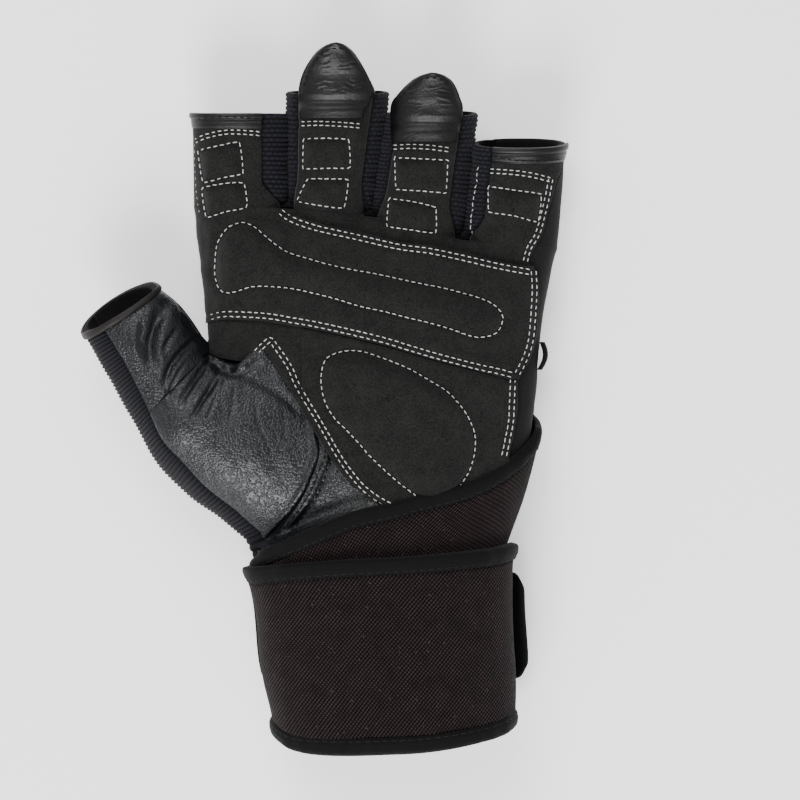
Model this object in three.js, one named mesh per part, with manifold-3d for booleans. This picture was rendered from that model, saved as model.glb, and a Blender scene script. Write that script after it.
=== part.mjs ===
// A left-hand weightlifting glove with half fingers and a wrist wrap, lying on its back.
// Millimetres. +Z is up, out of the palm. +Y runs to the finger mouths, and -X is the thumb's side.
// The origin is on the surface that the glove lies on, below the middle of its box.
import * as THREE from 'three';
import { mergeVertices } from 'three/addons/utils/BufferGeometryUtils.js';
import Module from 'manifold-3d';

// Driving dimensions of the hand form, on which all tables of shares are laid.
const PALM_BREADTH = 103; // across the palm below the fingers, outline to outline
const GLOVE_LENGTH = 213; // from the middle pull tab to the lower edge of the cuff
const HAND_DEPTH = 34; // from the palm's face to the back, at the heel of the hand

// Thicknesses of the pieces.
const WALL = 1.6; // suede, leather and stretch fabric that make the hand's shell
const OVERLAY = 1.2; // suede sewn over the palm, and leather sewn over a finger's end
const FINGER_PAD = 1.6; // padded islands on the finger strips
const PALM_PAD = 1.8; // padded islands on the palm
const CANVAS = 2.0; // the wrist wrap's webbing
const BINDING_PROUD = 0.5; // how much thicker than the webbing its edge tape is
const CLOSURE = 1.8; // the wrap's hook and loop end
const TAB = 2.2; // a pull tab is leather folded double

// Widths and lengths of the small pieces.
const BINDING_WIDTH = 5.6;
const RIM_WIDTH = 3.4; // tape round the thumb's mouth
const RIM_THICKNESS = 1.2;
const LOOP_LENGTH = 8.4; // small elastic loop on the side seam
const LOOP_STANDS_OFF = 1.4;
const LOOP_THICKNESS = 1.2;
const LOOP_PLACE = 0.061; // share of the length
const LOOP_HALF_TURN = 8; // degrees to each side of the seam
const TAB_LIFT = 1.6; // how far a pull tab's tip rises from the finger's line
const CLOSURE_LIFT = 2.2; // how far the wrap's loose end stands off
const MOUTH_REACH = 4.2; // how far the underside of the thumb's mouth bulges past its chord
const MOUTH_DIP = 1.5; // how far its upper side is cut back

// Clearances.
const GAP = 0.3; // between sewn neighbours, and between layers
const OVERLAY_EASE = 0.68; // under the palm's overlays, and under the pads on them
const WEB_GAP = 0.7; // between the palm's edge and the thumb's leather
const WRAP_EASE = 0.8; // under the wrap

// Layers of the shell, measured outwards from the inner face of the hand's shell.
const OVER_WALL = WALL + GAP;
const UNDER_OVERLAY = WALL + OVERLAY_EASE;
const OVER_OVERLAY = UNDER_OVERLAY + OVERLAY + OVERLAY_EASE;
const FIRST_TURN = WALL + WRAP_EASE;
const SECOND_TURN = FIRST_TURN + CANVAS + BINDING_PROUD + GAP;
const CLOSURE_LAYER = SECOND_TURN + CANVAS + BINDING_PROUD + GAP;
const WRAP_STACK = CLOSURE_LAYER + CLOSURE;

// Roundness of the sections: 2 is an ellipse, more is squarer.
const FRONT_POWER = 2.5;
const BACK_POWER = 3.4;
const FINGER_POWER = 2.3;
const FLATTENING = 1.015; // how much the back is pressed flat where it lies

// Sections of the hand. at is a share of the length, left and right of the breadth, thick is the
// height inside the shell as a share of the depth, and stack how much of the wrap lies under it.
const HAND_SECTIONS = [
  { at: -0.500, left: -0.065, right: 0.484, thick: 0.86, stack: 1.00 },
  { at: -0.376, left: -0.120, right: 0.487, thick: 0.86, stack: 1.00 },
  { at: -0.282, left: -0.141, right: 0.476, thick: 0.86, stack: 1.00 },
  { at: -0.211, left: -0.189, right: 0.486, thick: 0.86, stack: 0.97 },
  { at: -0.141, left: -0.258, right: 0.538, thick: 0.87, stack: 0.64 },
  { at: -0.047, left: -0.305, right: 0.587, thick: 0.86, stack: 0.46 },
  { at: 0.020, left: -0.317, right: 0.600, thick: 0.85, stack: 0.43 },
  { at: 0.075, left: -0.325, right: 0.611, thick: 0.88, stack: 0.00 },
  { at: 0.155, left: -0.336, right: 0.630, thick: 0.83, stack: 0.00 },
  { at: 0.225, left: -0.354, right: 0.651, thick: 0.78, stack: 0.00 },
  { at: 0.268, left: -0.371, right: 0.663, thick: 0.75, stack: 0.00 },
];
const MIDPLANE = 0.5; // the side seams' height between the back and the palm's face

// The fingers, from the thumb's side. base and tip, their middles at the crotch and at the mouth, and
// the half widths there are shares of the breadth; mouth and the two crotches are shares of the
// length, and lift, the mouth's middle height, of the depth. stripLeft and stripRight are the suede
// strip's edges as shares of the half width, and curl is the finger's tilt in degrees.
const FINGERS = [
  { name: 'index', base: -0.251, tip: -0.252, halfBase: 0.135, halfTip: 0.137, mouth: 0.404,
    crotchLeft: 0.272, crotchRight: 0.269, stripLeft: -1.00, stripRight: 0.49, curl: 4, lift: 0.49 },
  { name: 'middle', base: 0.010, tip: 0.038, halfBase: 0.114, halfTip: 0.143, mouth: 0.434,
    crotchLeft: 0.269, crotchRight: 0.258, stripLeft: -0.80, stripRight: 0.72, curl: 8, lift: 0.52 },
  { name: 'ring', base: 0.265, tip: 0.313, halfBase: 0.126, halfTip: 0.127, mouth: 0.404,
    crotchLeft: 0.258, crotchRight: 0.224, stripLeft: -0.78, stripRight: 0.66, curl: 9, lift: 0.54 },
  { name: 'little', base: 0.543, tip: 0.572, halfBase: 0.136, halfTip: 0.130, mouth: 0.361,
    crotchLeft: 0.224, crotchRight: 0.211, stripLeft: -0.62, stripRight: 1.00, curl: 12, lift: 0.57 },
];
const FINGER_HEIGHT_BASE = 0.72; // a finger's outer height at the crotch and at the mouth,
const FINGER_HEIGHT_MOUTH = 0.60; // as shares of the depth
const FINGER_CENTRE_BASE = 0.42;
const PALM_END = -0.40; // the shell's hidden lower edge, inside the wrap
const BLEND_START = 0.82; // where the palm begins to part into fingers

// The thumb and the leather mound at its root, from the mouth to the wrap. outer is the silhouette,
// inner the far side: the tube's other side at first, then the seam on the palm's face; back is the
// seam on the hand's back. x are shares of the breadth, y of the length, heights of the depth, and
// mound tells how much the row belongs to the mound.
const THUMB_ROWS = [
  { ox: -0.703, oy: 0.094, ix: -0.487, iy: 0.156, bx: -0.487, by: 0.156,
    z: 0.76, rise: 0.30, drop: 0.30, mound: 0.0 },
  { ox: -0.643, oy: 0.042, ix: -0.417, iy: 0.129, bx: -0.417, by: 0.129,
    z: 0.73, rise: 0.36, drop: 0.35, mound: 0.0 },
  { ox: -0.569, oy: -0.022, ix: -0.352, iy: 0.084, bx: -0.352, by: 0.082,
    z: 0.66, rise: 0.42, drop: 0.38, mound: 0.25 },
  { ox: -0.510, oy: -0.075, ix: -0.250, iy: 0.056, bx: -0.300, by: 0.040,
    z: 0.62, rise: 0.44, drop: 0.27, mound: 0.8 },
  { ox: -0.452, oy: -0.112, ix: -0.165, iy: 0.080, bx: -0.255, by: 0.000,
    z: 0.60, rise: 0.42, drop: 0.19, mound: 1.0 },
  { ox: -0.388, oy: -0.140, ix: -0.073, iy: -0.010, bx: -0.215, by: -0.050,
    z: 0.59, rise: 0.34, drop: 0.14, mound: 1.0 },
  { ox: -0.310, oy: -0.166, ix: 0.000, iy: -0.063, bx: -0.180, by: -0.105,
    z: 0.60, rise: 0.23, drop: 0.10, mound: 1.0 },
  { ox: -0.250, oy: -0.190, ix: 0.095, iy: -0.112, bx: -0.150, by: -0.155,
    z: 0.62, rise: 0.12, drop: 0.06, mound: 1.0 },
  { ox: -0.205, oy: -0.209, ix: 0.190, iy: -0.134, bx: -0.135, by: -0.200,
    z: 0.64, rise: 0.05, drop: 0.03, mound: 1.0 },
];
const WEB_ROW = 2; // the row where the thumb leaves the hand's side
const RIB_STRIP_TOP = 0.31; // how far the ribbed strip reaches over the thumb, and under it,
const RIB_STRIP_BACK = 0.26; // as shares of the way to the seams
const UPRIGHT_FROM = 0.55; // where the mound's thickness begins to be measured straight up,
const UPRIGHT_TO = 0.95; // and where it wholly is, as shares of the way to the seams

// The seam where the wrist's leather gusset leaves the mound, x as shares of the breadth and y of the
// length.
const GUSSET_SEAM = [
  [-0.030, -0.020], [-0.008, -0.073], [-0.023, -0.096], [-0.050, -0.128], [-0.084, -0.154],
  [-0.117, -0.173], [-0.170, -0.200],
];

// The wrap, by its turn in degrees: 0 is the little finger's side, 90 the palm, 180 the thumb's side
// and 270 the back. upper and lower are its edges as shares of the length.
const WRAP_PATH = [
  { turn: -100, upper: 0.019, lower: -0.249 },
  { turn: -40, upper: -0.009, lower: -0.272 },
  { turn: 0, upper: -0.038, lower: -0.300 },
  { turn: 30, upper: -0.080, lower: -0.343 },
  { turn: 54, upper: -0.113, lower: -0.376 },
  { turn: 84, upper: -0.142, lower: -0.408 },
  { turn: 112, upper: -0.180, lower: -0.441 },
  { turn: 140, upper: -0.205, lower: -0.455 },
  { turn: 180, upper: -0.228, lower: -0.465 },
  { turn: 270, upper: -0.235, lower: -0.465 },
  { turn: 360, upper: -0.202, lower: -0.462 },
  { turn: 400, upper: -0.209, lower: -0.477 },
  { turn: 450, upper: -0.221, lower: -0.495 },
  { turn: 500, upper: -0.232, lower: -0.495 },
  { turn: 530, upper: -0.235, lower: -0.479 },
  { turn: 565, upper: -0.235, lower: -0.469 },
];
const FIRST_TURN_START = -90; // degrees
const FIRST_TURN_END = 196;
const SECOND_TURN_START = 198;
const SECOND_TURN_END = 560;
const CLIMB_END = 255; // where the second turn has risen over the first
const CLOSURE_START = 563;
const CLOSURE_END = 706;
const CLOSURE_LEAVES = 682; // where the loose end leaves the cuff
const CLOSURE_UPPER = -0.246; // edges of the narrower closure end, shares of the length
const CLOSURE_LOWER = -0.397;
const OVER_PALM_TURNS = [0, 180]; // where the wrap's upper edge crosses the palm

// Seams on the palm, x as shares of the breadth and y of the length.
const UPPER_OVERLAY_TOP = [
  [-0.360, 0.262], [-0.124, 0.262], [-0.098, 0.257], [-0.045, 0.247], [0.042, 0.236], [0.130, 0.225],
  [0.290, 0.211], [0.450, 0.194], [0.596, 0.180],
];
const UPPER_OVERLAY_LOW = [
  [0.584, 0.036], [0.435, 0.046], [0.304, 0.064], [0.170, 0.082], [0.013, 0.099], [-0.074, 0.109],
  [-0.162, 0.116], [-0.255, 0.120], [-0.345, 0.115],
];
const HEEL_OVERLAY = [
  [-0.070, 0.103], [0.013, 0.093], [0.170, 0.076], [0.304, 0.058], [0.435, 0.040], [0.555, 0.031],
  [0.540, -0.001], [0.538, -0.029], [0.532, -0.046], [0.400, -0.090], [0.300, -0.114], [0.222, -0.128],
  [0.145, -0.112], [0.060, -0.086], [-0.005, -0.047], [-0.070, 0.004], [-0.128, 0.058], [-0.160, 0.096],
];
const UPPER_PAD = [
  [-0.244, 0.249], [-0.200, 0.239], [-0.144, 0.217], [-0.074, 0.201], [0.035, 0.186], [0.170, 0.172],
  [0.336, 0.157], [0.437, 0.144], [0.497, 0.128], [0.517, 0.112], [0.504, 0.094], [0.464, 0.088],
  [0.403, 0.093], [0.303, 0.105], [0.183, 0.122], [0.062, 0.136], [-0.045, 0.149], [-0.133, 0.158],
  [-0.222, 0.158], [-0.270, 0.150], [-0.300, 0.155], [-0.312, 0.177], [-0.310, 0.199], [-0.302, 0.222],
  [-0.281, 0.241],
];
const HEEL_PAD = [
  [0.009, 0.060], [0.062, 0.066], [0.143, 0.061], [0.223, 0.044], [0.303, 0.024], [0.363, 0.006],
  [0.410, -0.019], [0.433, -0.046], [0.433, -0.068], [0.414, -0.080], [0.300, -0.105], [0.235, -0.119],
  [0.189, -0.107], [0.129, -0.082], [0.076, -0.050], [0.029, -0.021], [-0.001, 0.005], [-0.011, 0.031],
];
// The seam along the little finger's side of the palm.
const SIDE_SEAM = [
  [0.657, 0.309], [0.652, 0.274], [0.642, 0.247], [0.625, 0.225], [0.599, 0.208], [0.594, 0.194],
  [0.604, 0.175], [0.607, 0.147], [0.604, 0.123], [0.599, 0.092], [0.590, 0.073], [0.572, 0.054],
  [0.559, 0.037], [0.546, 0.022], [0.540, -0.001], [0.538, -0.029], [0.532, -0.051], [0.517, -0.074],
];

// Padded islands on the finger strips. left and right are shares of the strip's width, low and high
// of the finger's length from its crotch to its mouth.
const FINGER_PADS = [
  { name: 'index_pad_upper', finger: 0, left: 0.10, right: 0.70, low: 0.30, high: 0.67 },
  { name: 'index_pad_lower', finger: 0, left: 0.13, right: 0.74, low: 0.03, high: 0.24 },
  { name: 'middle_pad_upper', finger: 1, left: 0.10, right: 0.77, low: 0.365, high: 0.60 },
  { name: 'middle_pad_lower', finger: 1, left: 0.10, right: 0.80, low: 0.06, high: 0.27 },
  { name: 'ring_pad_upper', finger: 2, left: 0.10, right: 0.88, low: 0.33, high: 0.585 },
  { name: 'ring_pad_lower', finger: 2, left: 0.14, right: 0.88, low: 0.02, high: 0.23 },
  { name: 'little_pad', finger: 3, left: 0.05, right: 0.66, low: 0.24, high: 0.55 },
];
const BAND_START = { index: 0.80, middle: 0.80, ring: 0.70, little: 0.84 }; // shares of a finger

// Outlines of the pull tabs past the mouth: out is a share of the tab's reach, and half is its half
// width as a share of the finger's strip.
const TAB_REACH = { middle: 0.066, ring: 0.051 }; // shares of the length, past the mouth
const TAB_ROWS = [
  { out: 0.00, half: 1.00 }, { out: 0.18, half: 0.92 }, { out: 0.40, half: 0.80 },
  { out: 0.62, half: 0.64 }, { out: 0.80, half: 0.47 }, { out: 0.93, half: 0.29 }, { out: 1.00, half: 0.12 },
];

// Outlines that cut the shell reach past it to these shares of the breadth and of the length.
const PAST = { thumbSide: -0.80, littleSide: 0.90, fingers: 0.50, wrist: -0.45 };

// How many facets the curved faces have.
const STRIP_STEPS = 5; // across a finger's strip
const BACK_STEPS = 4; // across a finger's back
const GUSSET_STEPS = 6; // round a finger's side
const TAB_STEPS = 5;
const BAND_STEPS = [9, 2]; // across, and along
const PAD_STEPS = [5, 3];
const THUMB_STEPS = 7; // from a seam of the thumb to the next
const RIM_STEPS = 8; // round half of the thumb's mouth
const FIRST_TURN_STEPS = [28, 5]; // round the wrist, and across the webbing
const SECOND_TURN_STEPS = [33, 3];
const CLOSURE_STEPS = [14, 2];
const LOOP_STEPS = [2, 8];

const SUEDE = { color: 0x29292a, roughness: 0.95, metalness: 0 };
const LEATHER = { color: 0x2c2e31, roughness: 0.5, metalness: 0 };
const KNIT = { color: 0x1b1b21, roughness: 0.9, metalness: 0 };
const STRETCH = { color: 0x202022, roughness: 0.85, metalness: 0 };
const RIB = { color: 0x2c2c33, roughness: 0.85, metalness: 0 };
const WEBBING = { color: 0x2b2426, roughness: 0.9, metalness: 0 };
const TAPE = { color: 0x232324, roughness: 0.8, metalness: 0 };

const wasm = await Module();
wasm.setup();
const glove = new THREE.Group();

const mix = (a, b, t) => a + (b - a) * t;
const clamp01 = (t) => Math.min(1, Math.max(0, t));
const smooth = (t) => clamp01(t) ** 2 * (3 - 2 * clamp01(t));
const degrees = (angle) => (angle * Math.PI) / 180;
// A superellipse's height over its middle, for a place across it from -1 to 1.
const arch = (across, power) => (1 - Math.min(1, Math.abs(across)) ** power) ** (1 / power);
const flattened = (height) => Math.min(1, height * FLATTENING);
const between = (from, to, steps) => Array.from({ length: steps + 1 }, (_, i) => mix(from, to, i / steps));
const place = ([x, y]) => [x * PALM_BREADTH, y * GLOVE_LENGTH];

// Reads one column of a table at a place along it, on a smooth curve through its rows.
function read(rows, key, column, at) {
  let i = 0;
  while (i < rows.length - 2 && at > rows[i + 1][key]) i += 1;
  const [a, b] = [rows[i], rows[i + 1]];
  const before = rows[Math.max(0, i - 1)];
  const after = rows[Math.min(rows.length - 1, i + 2)];
  const span = b[key] - a[key];
  const t = clamp01((at - a[key]) / span);
  const slopeA = ((b[column] - before[column]) / (b[key] - before[key])) * span;
  const slopeB = ((after[column] - a[column]) / (after[key] - a[key])) * span;
  return (2 * t ** 3 - 3 * t ** 2 + 1) * a[column] + (t ** 3 - 2 * t ** 2 + t) * slopeA
    + (3 * t ** 2 - 2 * t ** 3) * b[column] + (t ** 3 - t ** 2) * slopeB;
}

// The hand's section at a place along the glove, on the inner face of its shell.
function handSection(y) {
  const at = y / GLOVE_LENGTH;
  const left = read(HAND_SECTIONS, 'at', 'left', at) * PALM_BREADTH;
  const right = read(HAND_SECTIONS, 'at', 'right', at) * PALM_BREADTH;
  const back = mix(WALL, WRAP_STACK, clamp01(read(HAND_SECTIONS, 'at', 'stack', at)));
  const face = back + read(HAND_SECTIONS, 'at', 'thick', at) * HAND_DEPTH;
  const middle = mix(back, face, MIDPLANE);
  return { centre: (left + right) / 2, half: (right - left) / 2, back, face, middle };
}

// A point of the hand's shell, across from -1 to 1, on the palm's side (1) or the back (-1).
function handPoint(y, across, side, offset) {
  const s = handSection(y);
  const tall = side > 0 ? arch(across, FRONT_POWER) : flattened(arch(across, BACK_POWER));
  const reach = (side > 0 ? s.face - s.middle : s.middle - s.back) + offset;
  return new THREE.Vector3(s.centre + (s.half + offset) * across, y, s.middle + side * reach * tall);
}

// A point of the hand's shell by the wrap's turn in degrees.
function wristPoint(y, turn, offset) {
  const s = handSection(y);
  const [c, v] = [Math.cos(degrees(turn)), Math.sin(degrees(turn))];
  const power = v > 0 ? FRONT_POWER : BACK_POWER;
  const tall = Math.abs(v) ** (2 / power);
  const reach = (v > 0 ? s.face - s.middle : s.middle - s.back) + offset;
  return new THREE.Vector3(
    s.centre + (s.half + offset) * Math.sign(c) * Math.abs(c) ** (2 / power), y,
    s.middle + reach * Math.sign(v) * (v > 0 ? tall : flattened(tall)));
}
const palmHeight = (x, y) => {
  const s = handSection(y);
  return s.middle + (s.face - s.middle) * arch((x - s.centre) / s.half, FRONT_POWER);
};
const backHeight = (x, y) => {
  const s = handSection(y);
  return s.middle - (s.middle - s.back) * flattened(arch((x - s.centre) / s.half, BACK_POWER));
};

const palmLeft = (FINGERS[0].base - FINGERS[0].halfBase) * PALM_BREADTH + WALL;
const palmRight = (FINGERS[3].base + FINGERS[3].halfBase) * PALM_BREADTH - WALL;

// A point of a finger's tube: across from -1 to 1, along from 0 at the crotch to 1 at the mouth.
function fingerPoint(finger, across, side, along, offset) {
  const half = mix(finger.halfBase, finger.halfTip, along) * PALM_BREADTH - WALL + offset;
  const tall = (mix(FINGER_HEIGHT_BASE, FINGER_HEIGHT_MOUTH, along) * HAND_DEPTH) / 2 - WALL + offset;
  const tilt = degrees(finger.curl * clamp01(along));
  const crotch = mix(finger.crotchLeft, finger.crotchRight, (across + 1) / 2) * GLOVE_LENGTH;
  const up = side * tall * arch(across, FINGER_POWER);
  return new THREE.Vector3(
    mix(finger.base, finger.tip, along) * PALM_BREADTH + half * across,
    mix(crotch, finger.mouth * GLOVE_LENGTH, along) - up * Math.sin(tilt),
    mix(FINGER_CENTRE_BASE, finger.lift, along ** 2) * HAND_DEPTH + up * Math.cos(tilt));
}

// A point of the whole hand: along runs from 0 at the wrist to 1 at the crotches and 2 at the mouths.
function shellPoint(finger, across, side, along, offset) {
  if (along >= 1) return fingerPoint(finger, across, side, along - 1, offset);
  const root = fingerPoint(finger, across, side, 0, offset);
  const rootX = finger.base * PALM_BREADTH + (finger.halfBase * PALM_BREADTH - WALL) * across;
  const acrossHand = Math.min(1, Math.max(-1, (2 * (rootX - palmLeft)) / (palmRight - palmLeft) - 1));
  const crotch = mix(finger.crotchLeft, finger.crotchRight, (across + 1) / 2) * GLOVE_LENGTH;
  const y = mix(PALM_END * GLOVE_LENGTH, crotch, along);
  return handPoint(y, acrossHand, side, offset).lerp(root, smooth((along - BLEND_START) / (1 - BLEND_START)));
}

// A closed sheet from two grids of points, the inner and the outer face. keep leaves out cells.
function sheet(inner, outer, { keep = () => true, ring = false } = {}) {
  const rows = inner.length;
  const columns = inner[0].length;
  const cells = ring ? columns : columns - 1;
  const index = (side, j, i) => side * rows * columns + j * columns + (i % columns);
  const onGrid = (j, i) => j >= 0 && j < rows - 1 && (ring || (i >= 0 && i < cells));
  const kept = (j, i) => onGrid(j, i) && keep(j, (i + cells) % cells);
  const faces = [];
  const quad = (a, b, c, d) => faces.push(a, b, c, a, c, d);
  for (let j = 0; j < rows - 1; j += 1) {
    for (let i = 0; i < cells; i += 1) {
      if (!kept(j, i)) continue;
      const low = [index(0, j, i), index(0, j, i + 1), index(0, j + 1, i + 1), index(0, j + 1, i)];
      const high = [index(1, j, i), index(1, j, i + 1), index(1, j + 1, i + 1), index(1, j + 1, i)];
      quad(high[0], high[1], high[2], high[3]);
      quad(low[3], low[2], low[1], low[0]);
      if (!kept(j - 1, i)) quad(low[0], low[1], high[1], high[0]);
      if (!kept(j + 1, i)) quad(low[2], low[3], high[3], high[2]);
      if (!kept(j, i - 1)) quad(low[3], low[0], high[0], high[3]);
      if (!kept(j, i + 1)) quad(low[1], low[2], high[2], high[1]);
    }
  }
  const points = [...inner.flat(), ...outer.flat()];
  const used = [...new Set(faces)];
  const renumber = new Map(used.map((old, fresh) => [old, fresh]));
  const geometry = new THREE.BufferGeometry();
  geometry.setAttribute('position',
    new THREE.Float32BufferAttribute(used.flatMap((i) => points[i].toArray()), 3));
  const turned = volume(faces, points) < 0 ? faces.slice().reverse() : faces;
  geometry.setIndex(turned.map((i) => renumber.get(i)));
  return geometry;
}

function volume(faces, points) {
  let sum = 0;
  for (let f = 0; f < faces.length; f += 3) {
    sum += points[faces[f]].dot(points[faces[f + 1]].clone().cross(points[faces[f + 2]])) / 6;
  }
  return sum;
}

// A sheet over a surface given as point(u, v, offset).
function surface(point, us, vs, low, high, options) {
  const face = (offset) => vs.map((v) => us.map((u) => point(u, v, offset)));
  return sheet(face(low), face(high), options);
}

function toSolid(geometry) {
  const bare = geometry.clone();
  for (const name of ['normal', 'uv']) bare.deleteAttribute(name);
  const merged = mergeVertices(bare, GAP / 300);
  return new wasm.Manifold(new wasm.Mesh({
    numProp: 3,
    vertProperties: new Float32Array(merged.attributes.position.array),
    triVerts: new Uint32Array(merged.index.array),
  }));
}

function fromSolid(solid) {
  const mesh = solid.getMesh();
  const geometry = new THREE.BufferGeometry();
  geometry.setAttribute('position', new THREE.BufferAttribute(mesh.vertProperties, 3));
  geometry.setIndex(new THREE.BufferAttribute(mesh.triVerts, 1));
  return geometry;
}

// An upright block over an outline of x and y, taller than the glove.
function block(outline) {
  const shape = new THREE.Shape(outline.map(([x, y]) => new THREE.Vector2(x, y)));
  const tall = HAND_DEPTH * 3;
  const geometry = new THREE.ExtrudeGeometry(shape, { depth: tall, bevelEnabled: false });
  geometry.translate(0, 0, -HAND_DEPTH);
  return toSolid(geometry);
}

function add(name, geometry, material) {
  const mesh = new THREE.Mesh(geometry, new THREE.MeshStandardMaterial(material));
  mesh.name = name;
  glove.add(mesh);
}

// Places across a finger's strip, closer together where the strip turns down to a side seam.
function acrossStrip(finger, steps) {
  const inset = GAP / (2 * finger.halfBase * PALM_BREADTH);
  const left = finger.stripLeft + (finger.stripLeft > -1 ? inset : 0);
  const right = finger.stripRight - (finger.stripRight < 1 ? inset : 0);
  const from = Math.acos(Math.max(-1, left));
  const to = Math.acos(Math.min(1, right));
  return between(from, to, steps).map((angle) => Math.cos(angle));
}

// The shell's palm or back: a row of columns for each finger, open between the fingers. Its rows are
// close where the palm bends and where it parts into fingers.
const ALONG_PALM = [0, 0.15, 0.28, 0.38, 0.47, 0.55, 0.63, 0.72, 0.82, 0.88, 0.93, 0.97];
const ALONG_FINGER = [1, 1.15, 1.4, 1.7, 2];
const columnsAcross = (steps) => FINGERS.flatMap((finger) => (
  acrossStrip(finger, steps).map((across) => ({ finger, across }))));
const palmColumns = columnsAcross(STRIP_STEPS);
function handShell(side, columns) {
  const rows = [...ALONG_PALM, ...ALONG_FINGER];
  const seam = (GAP / 2) * side;
  const face = (offset) => rows.map((along) => columns.map(({ finger, across }) => {
    const point = shellPoint(finger, across, side, along, offset);
    if (Math.abs(across) > 1 - 1e-9) point.z += seam;
    return point;
  }));
  const keep = (j, i) => j < ALONG_PALM.length || columns[i].finger === columns[i + 1].finger;
  return sheet(face(0), face(WALL), { keep });
}

const grow = (outline, dx, dy) => outline.map(([x, y]) => [x + dx, y + dy]);
const sides = (outline, far) => [...outline, ...far].map(place);
// The seams that the thumb's pieces leave open in the palm and in the back.
const thumbRows = THUMB_ROWS.map((row, index) => ({ ...row, row: index }));
const LAST_ROW = THUMB_ROWS.length - 1;
const thumbRowPlaces = between(0, LAST_ROW, LAST_ROW * 2);
const thumbSeam = (x, y) => thumbRowPlaces.filter((row) => row >= WEB_ROW)
  .map((row) => [read(thumbRows, 'row', x, row), read(thumbRows, 'row', y, row)]);
const BELOW_THUMB = -0.2155; // a little below the thumb's last row, hidden in the wrap
const besideThumb = [[PAST.thumbSide, BELOW_THUMB], [PAST.thumbSide, THUMB_ROWS[WEB_ROW].iy]];
const underWrap = [[0.195, -0.1430], [-0.120, -0.2150]];
const webOutline = sides(thumbSeam('ix', 'iy'), [...underWrap, ...besideThumb]);
const backWebOutline = sides(thumbSeam('bx', 'by'), [[-0.125, BELOW_THUMB], ...besideThumb]);
const sideOutline = sides(SIDE_SEAM, [
  [0.45, PAST.wrist], [PAST.littleSide, PAST.wrist], [PAST.littleSide, SIDE_SEAM[0][1]],
]);

const palmShell = toSolid(handShell(1, palmColumns)).subtract(block(grow(webOutline, WEB_GAP, WEB_GAP)));
const backShell = toSolid(handShell(-1, columnsAcross(BACK_STEPS))).subtract(block(grow(backWebOutline, GAP, GAP)));
add('palm_panel', fromSolid(palmShell.subtract(block(grow(sideOutline, -GAP, 0)))), SUEDE);
add('side_panel', fromSolid(palmShell.intersect(block(sideOutline))), STRETCH);
add('back_panel', fromSolid(backShell), STRETCH);

// A knit gusset runs down one finger's side, across the crotch and up the next finger's side.
const GUSSET_ROWS = [1, 0.7, 0.4, 0.15, 0];
function fourchette(before, after) {
  const legs = [
    ...GUSSET_ROWS.map((along) => ({ finger: before, along, hand: 1, edge: before.stripRight })),
    ...[...GUSSET_ROWS].reverse()
      .map((along) => ({ finger: after, along, hand: -1, edge: -after.stripLeft })),
  ];
  const face = (offset) => legs.map(({ finger, along, hand, edge }) => {
    const inset = GAP / (2 * finger.halfBase * PALM_BREADTH);
    const widest = Math.acos(Math.min(1, edge + inset));
    return between(widest, -widest, GUSSET_STEPS).map((angle) => {
      const side = angle >= 0 ? 1 : -1;
      const point = fingerPoint(finger, hand * Math.cos(angle), side, along, offset);
      if (along === 0) point.y += GAP + offset;
      return point;
    });
  });
  return sheet(face(0), face(WALL));
}
for (let i = 0; i < FINGERS.length - 1; i += 1) {
  const [before, after] = [FINGERS[i], FINGERS[i + 1]];
  add(`fourchette_${before.name}_${after.name}`, fourchette(before, after), KNIT);
}

// A layer laid on the palm inside an outline, parallel to the palm's own facets.
function palmLayer(low, high, outlines) {
  const rows = [...ALONG_PALM.slice(1), ALONG_FINGER[0]];
  const face = (offset) => rows.map((along) => palmColumns.map(({ finger, across }) => (
    shellPoint(finger, across, 1, along, offset))));
  const whole = toSolid(sheet(face(low), face(high)));
  return outlines.reduce((solid, outline) => solid.intersect(block(outline)), whole);
}
const wrapEdge = WRAP_PATH.filter(({ turn }) => turn >= OVER_PALM_TURNS[0] && turn <= OVER_PALM_TURNS[1]);
const aboveWrap = [
  ...wrapEdge.map(({ turn, upper }) => {
    const point = wristPoint(upper * GLOVE_LENGTH, turn, OVER_OVERLAY);
    return [point.x, point.y + GAP * 2];
  }),
  ...[
    [PAST.thumbSide, -0.20], [PAST.thumbSide, PAST.fingers],
    [PAST.littleSide, PAST.fingers], [PAST.littleSide, -0.03],
  ].map(place),
];
const besideSeam = grow(sides(SIDE_SEAM, [
  [PAST.thumbSide, SIDE_SEAM[SIDE_SEAM.length - 1][1]], [PAST.thumbSide, SIDE_SEAM[0][1]],
]), -GAP, 0);
const upperOverlay = sides(UPPER_OVERLAY_TOP, UPPER_OVERLAY_LOW);
const overlay = (outlines) => fromSolid(palmLayer(UNDER_OVERLAY, UNDER_OVERLAY + OVERLAY, outlines));
const palmPad = (outlines) => fromSolid(palmLayer(OVER_OVERLAY, OVER_OVERLAY + PALM_PAD, outlines));
add('upper_palm_overlay', overlay([upperOverlay, besideSeam]), SUEDE);
add('heel_overlay', overlay([HEEL_OVERLAY.map(place), aboveWrap, besideSeam]), SUEDE);
add('upper_palm_pad', palmPad([UPPER_PAD.map(place)]), SUEDE);
add('heel_pad', palmPad([HEEL_PAD.map(place), aboveWrap]), SUEDE);

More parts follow.
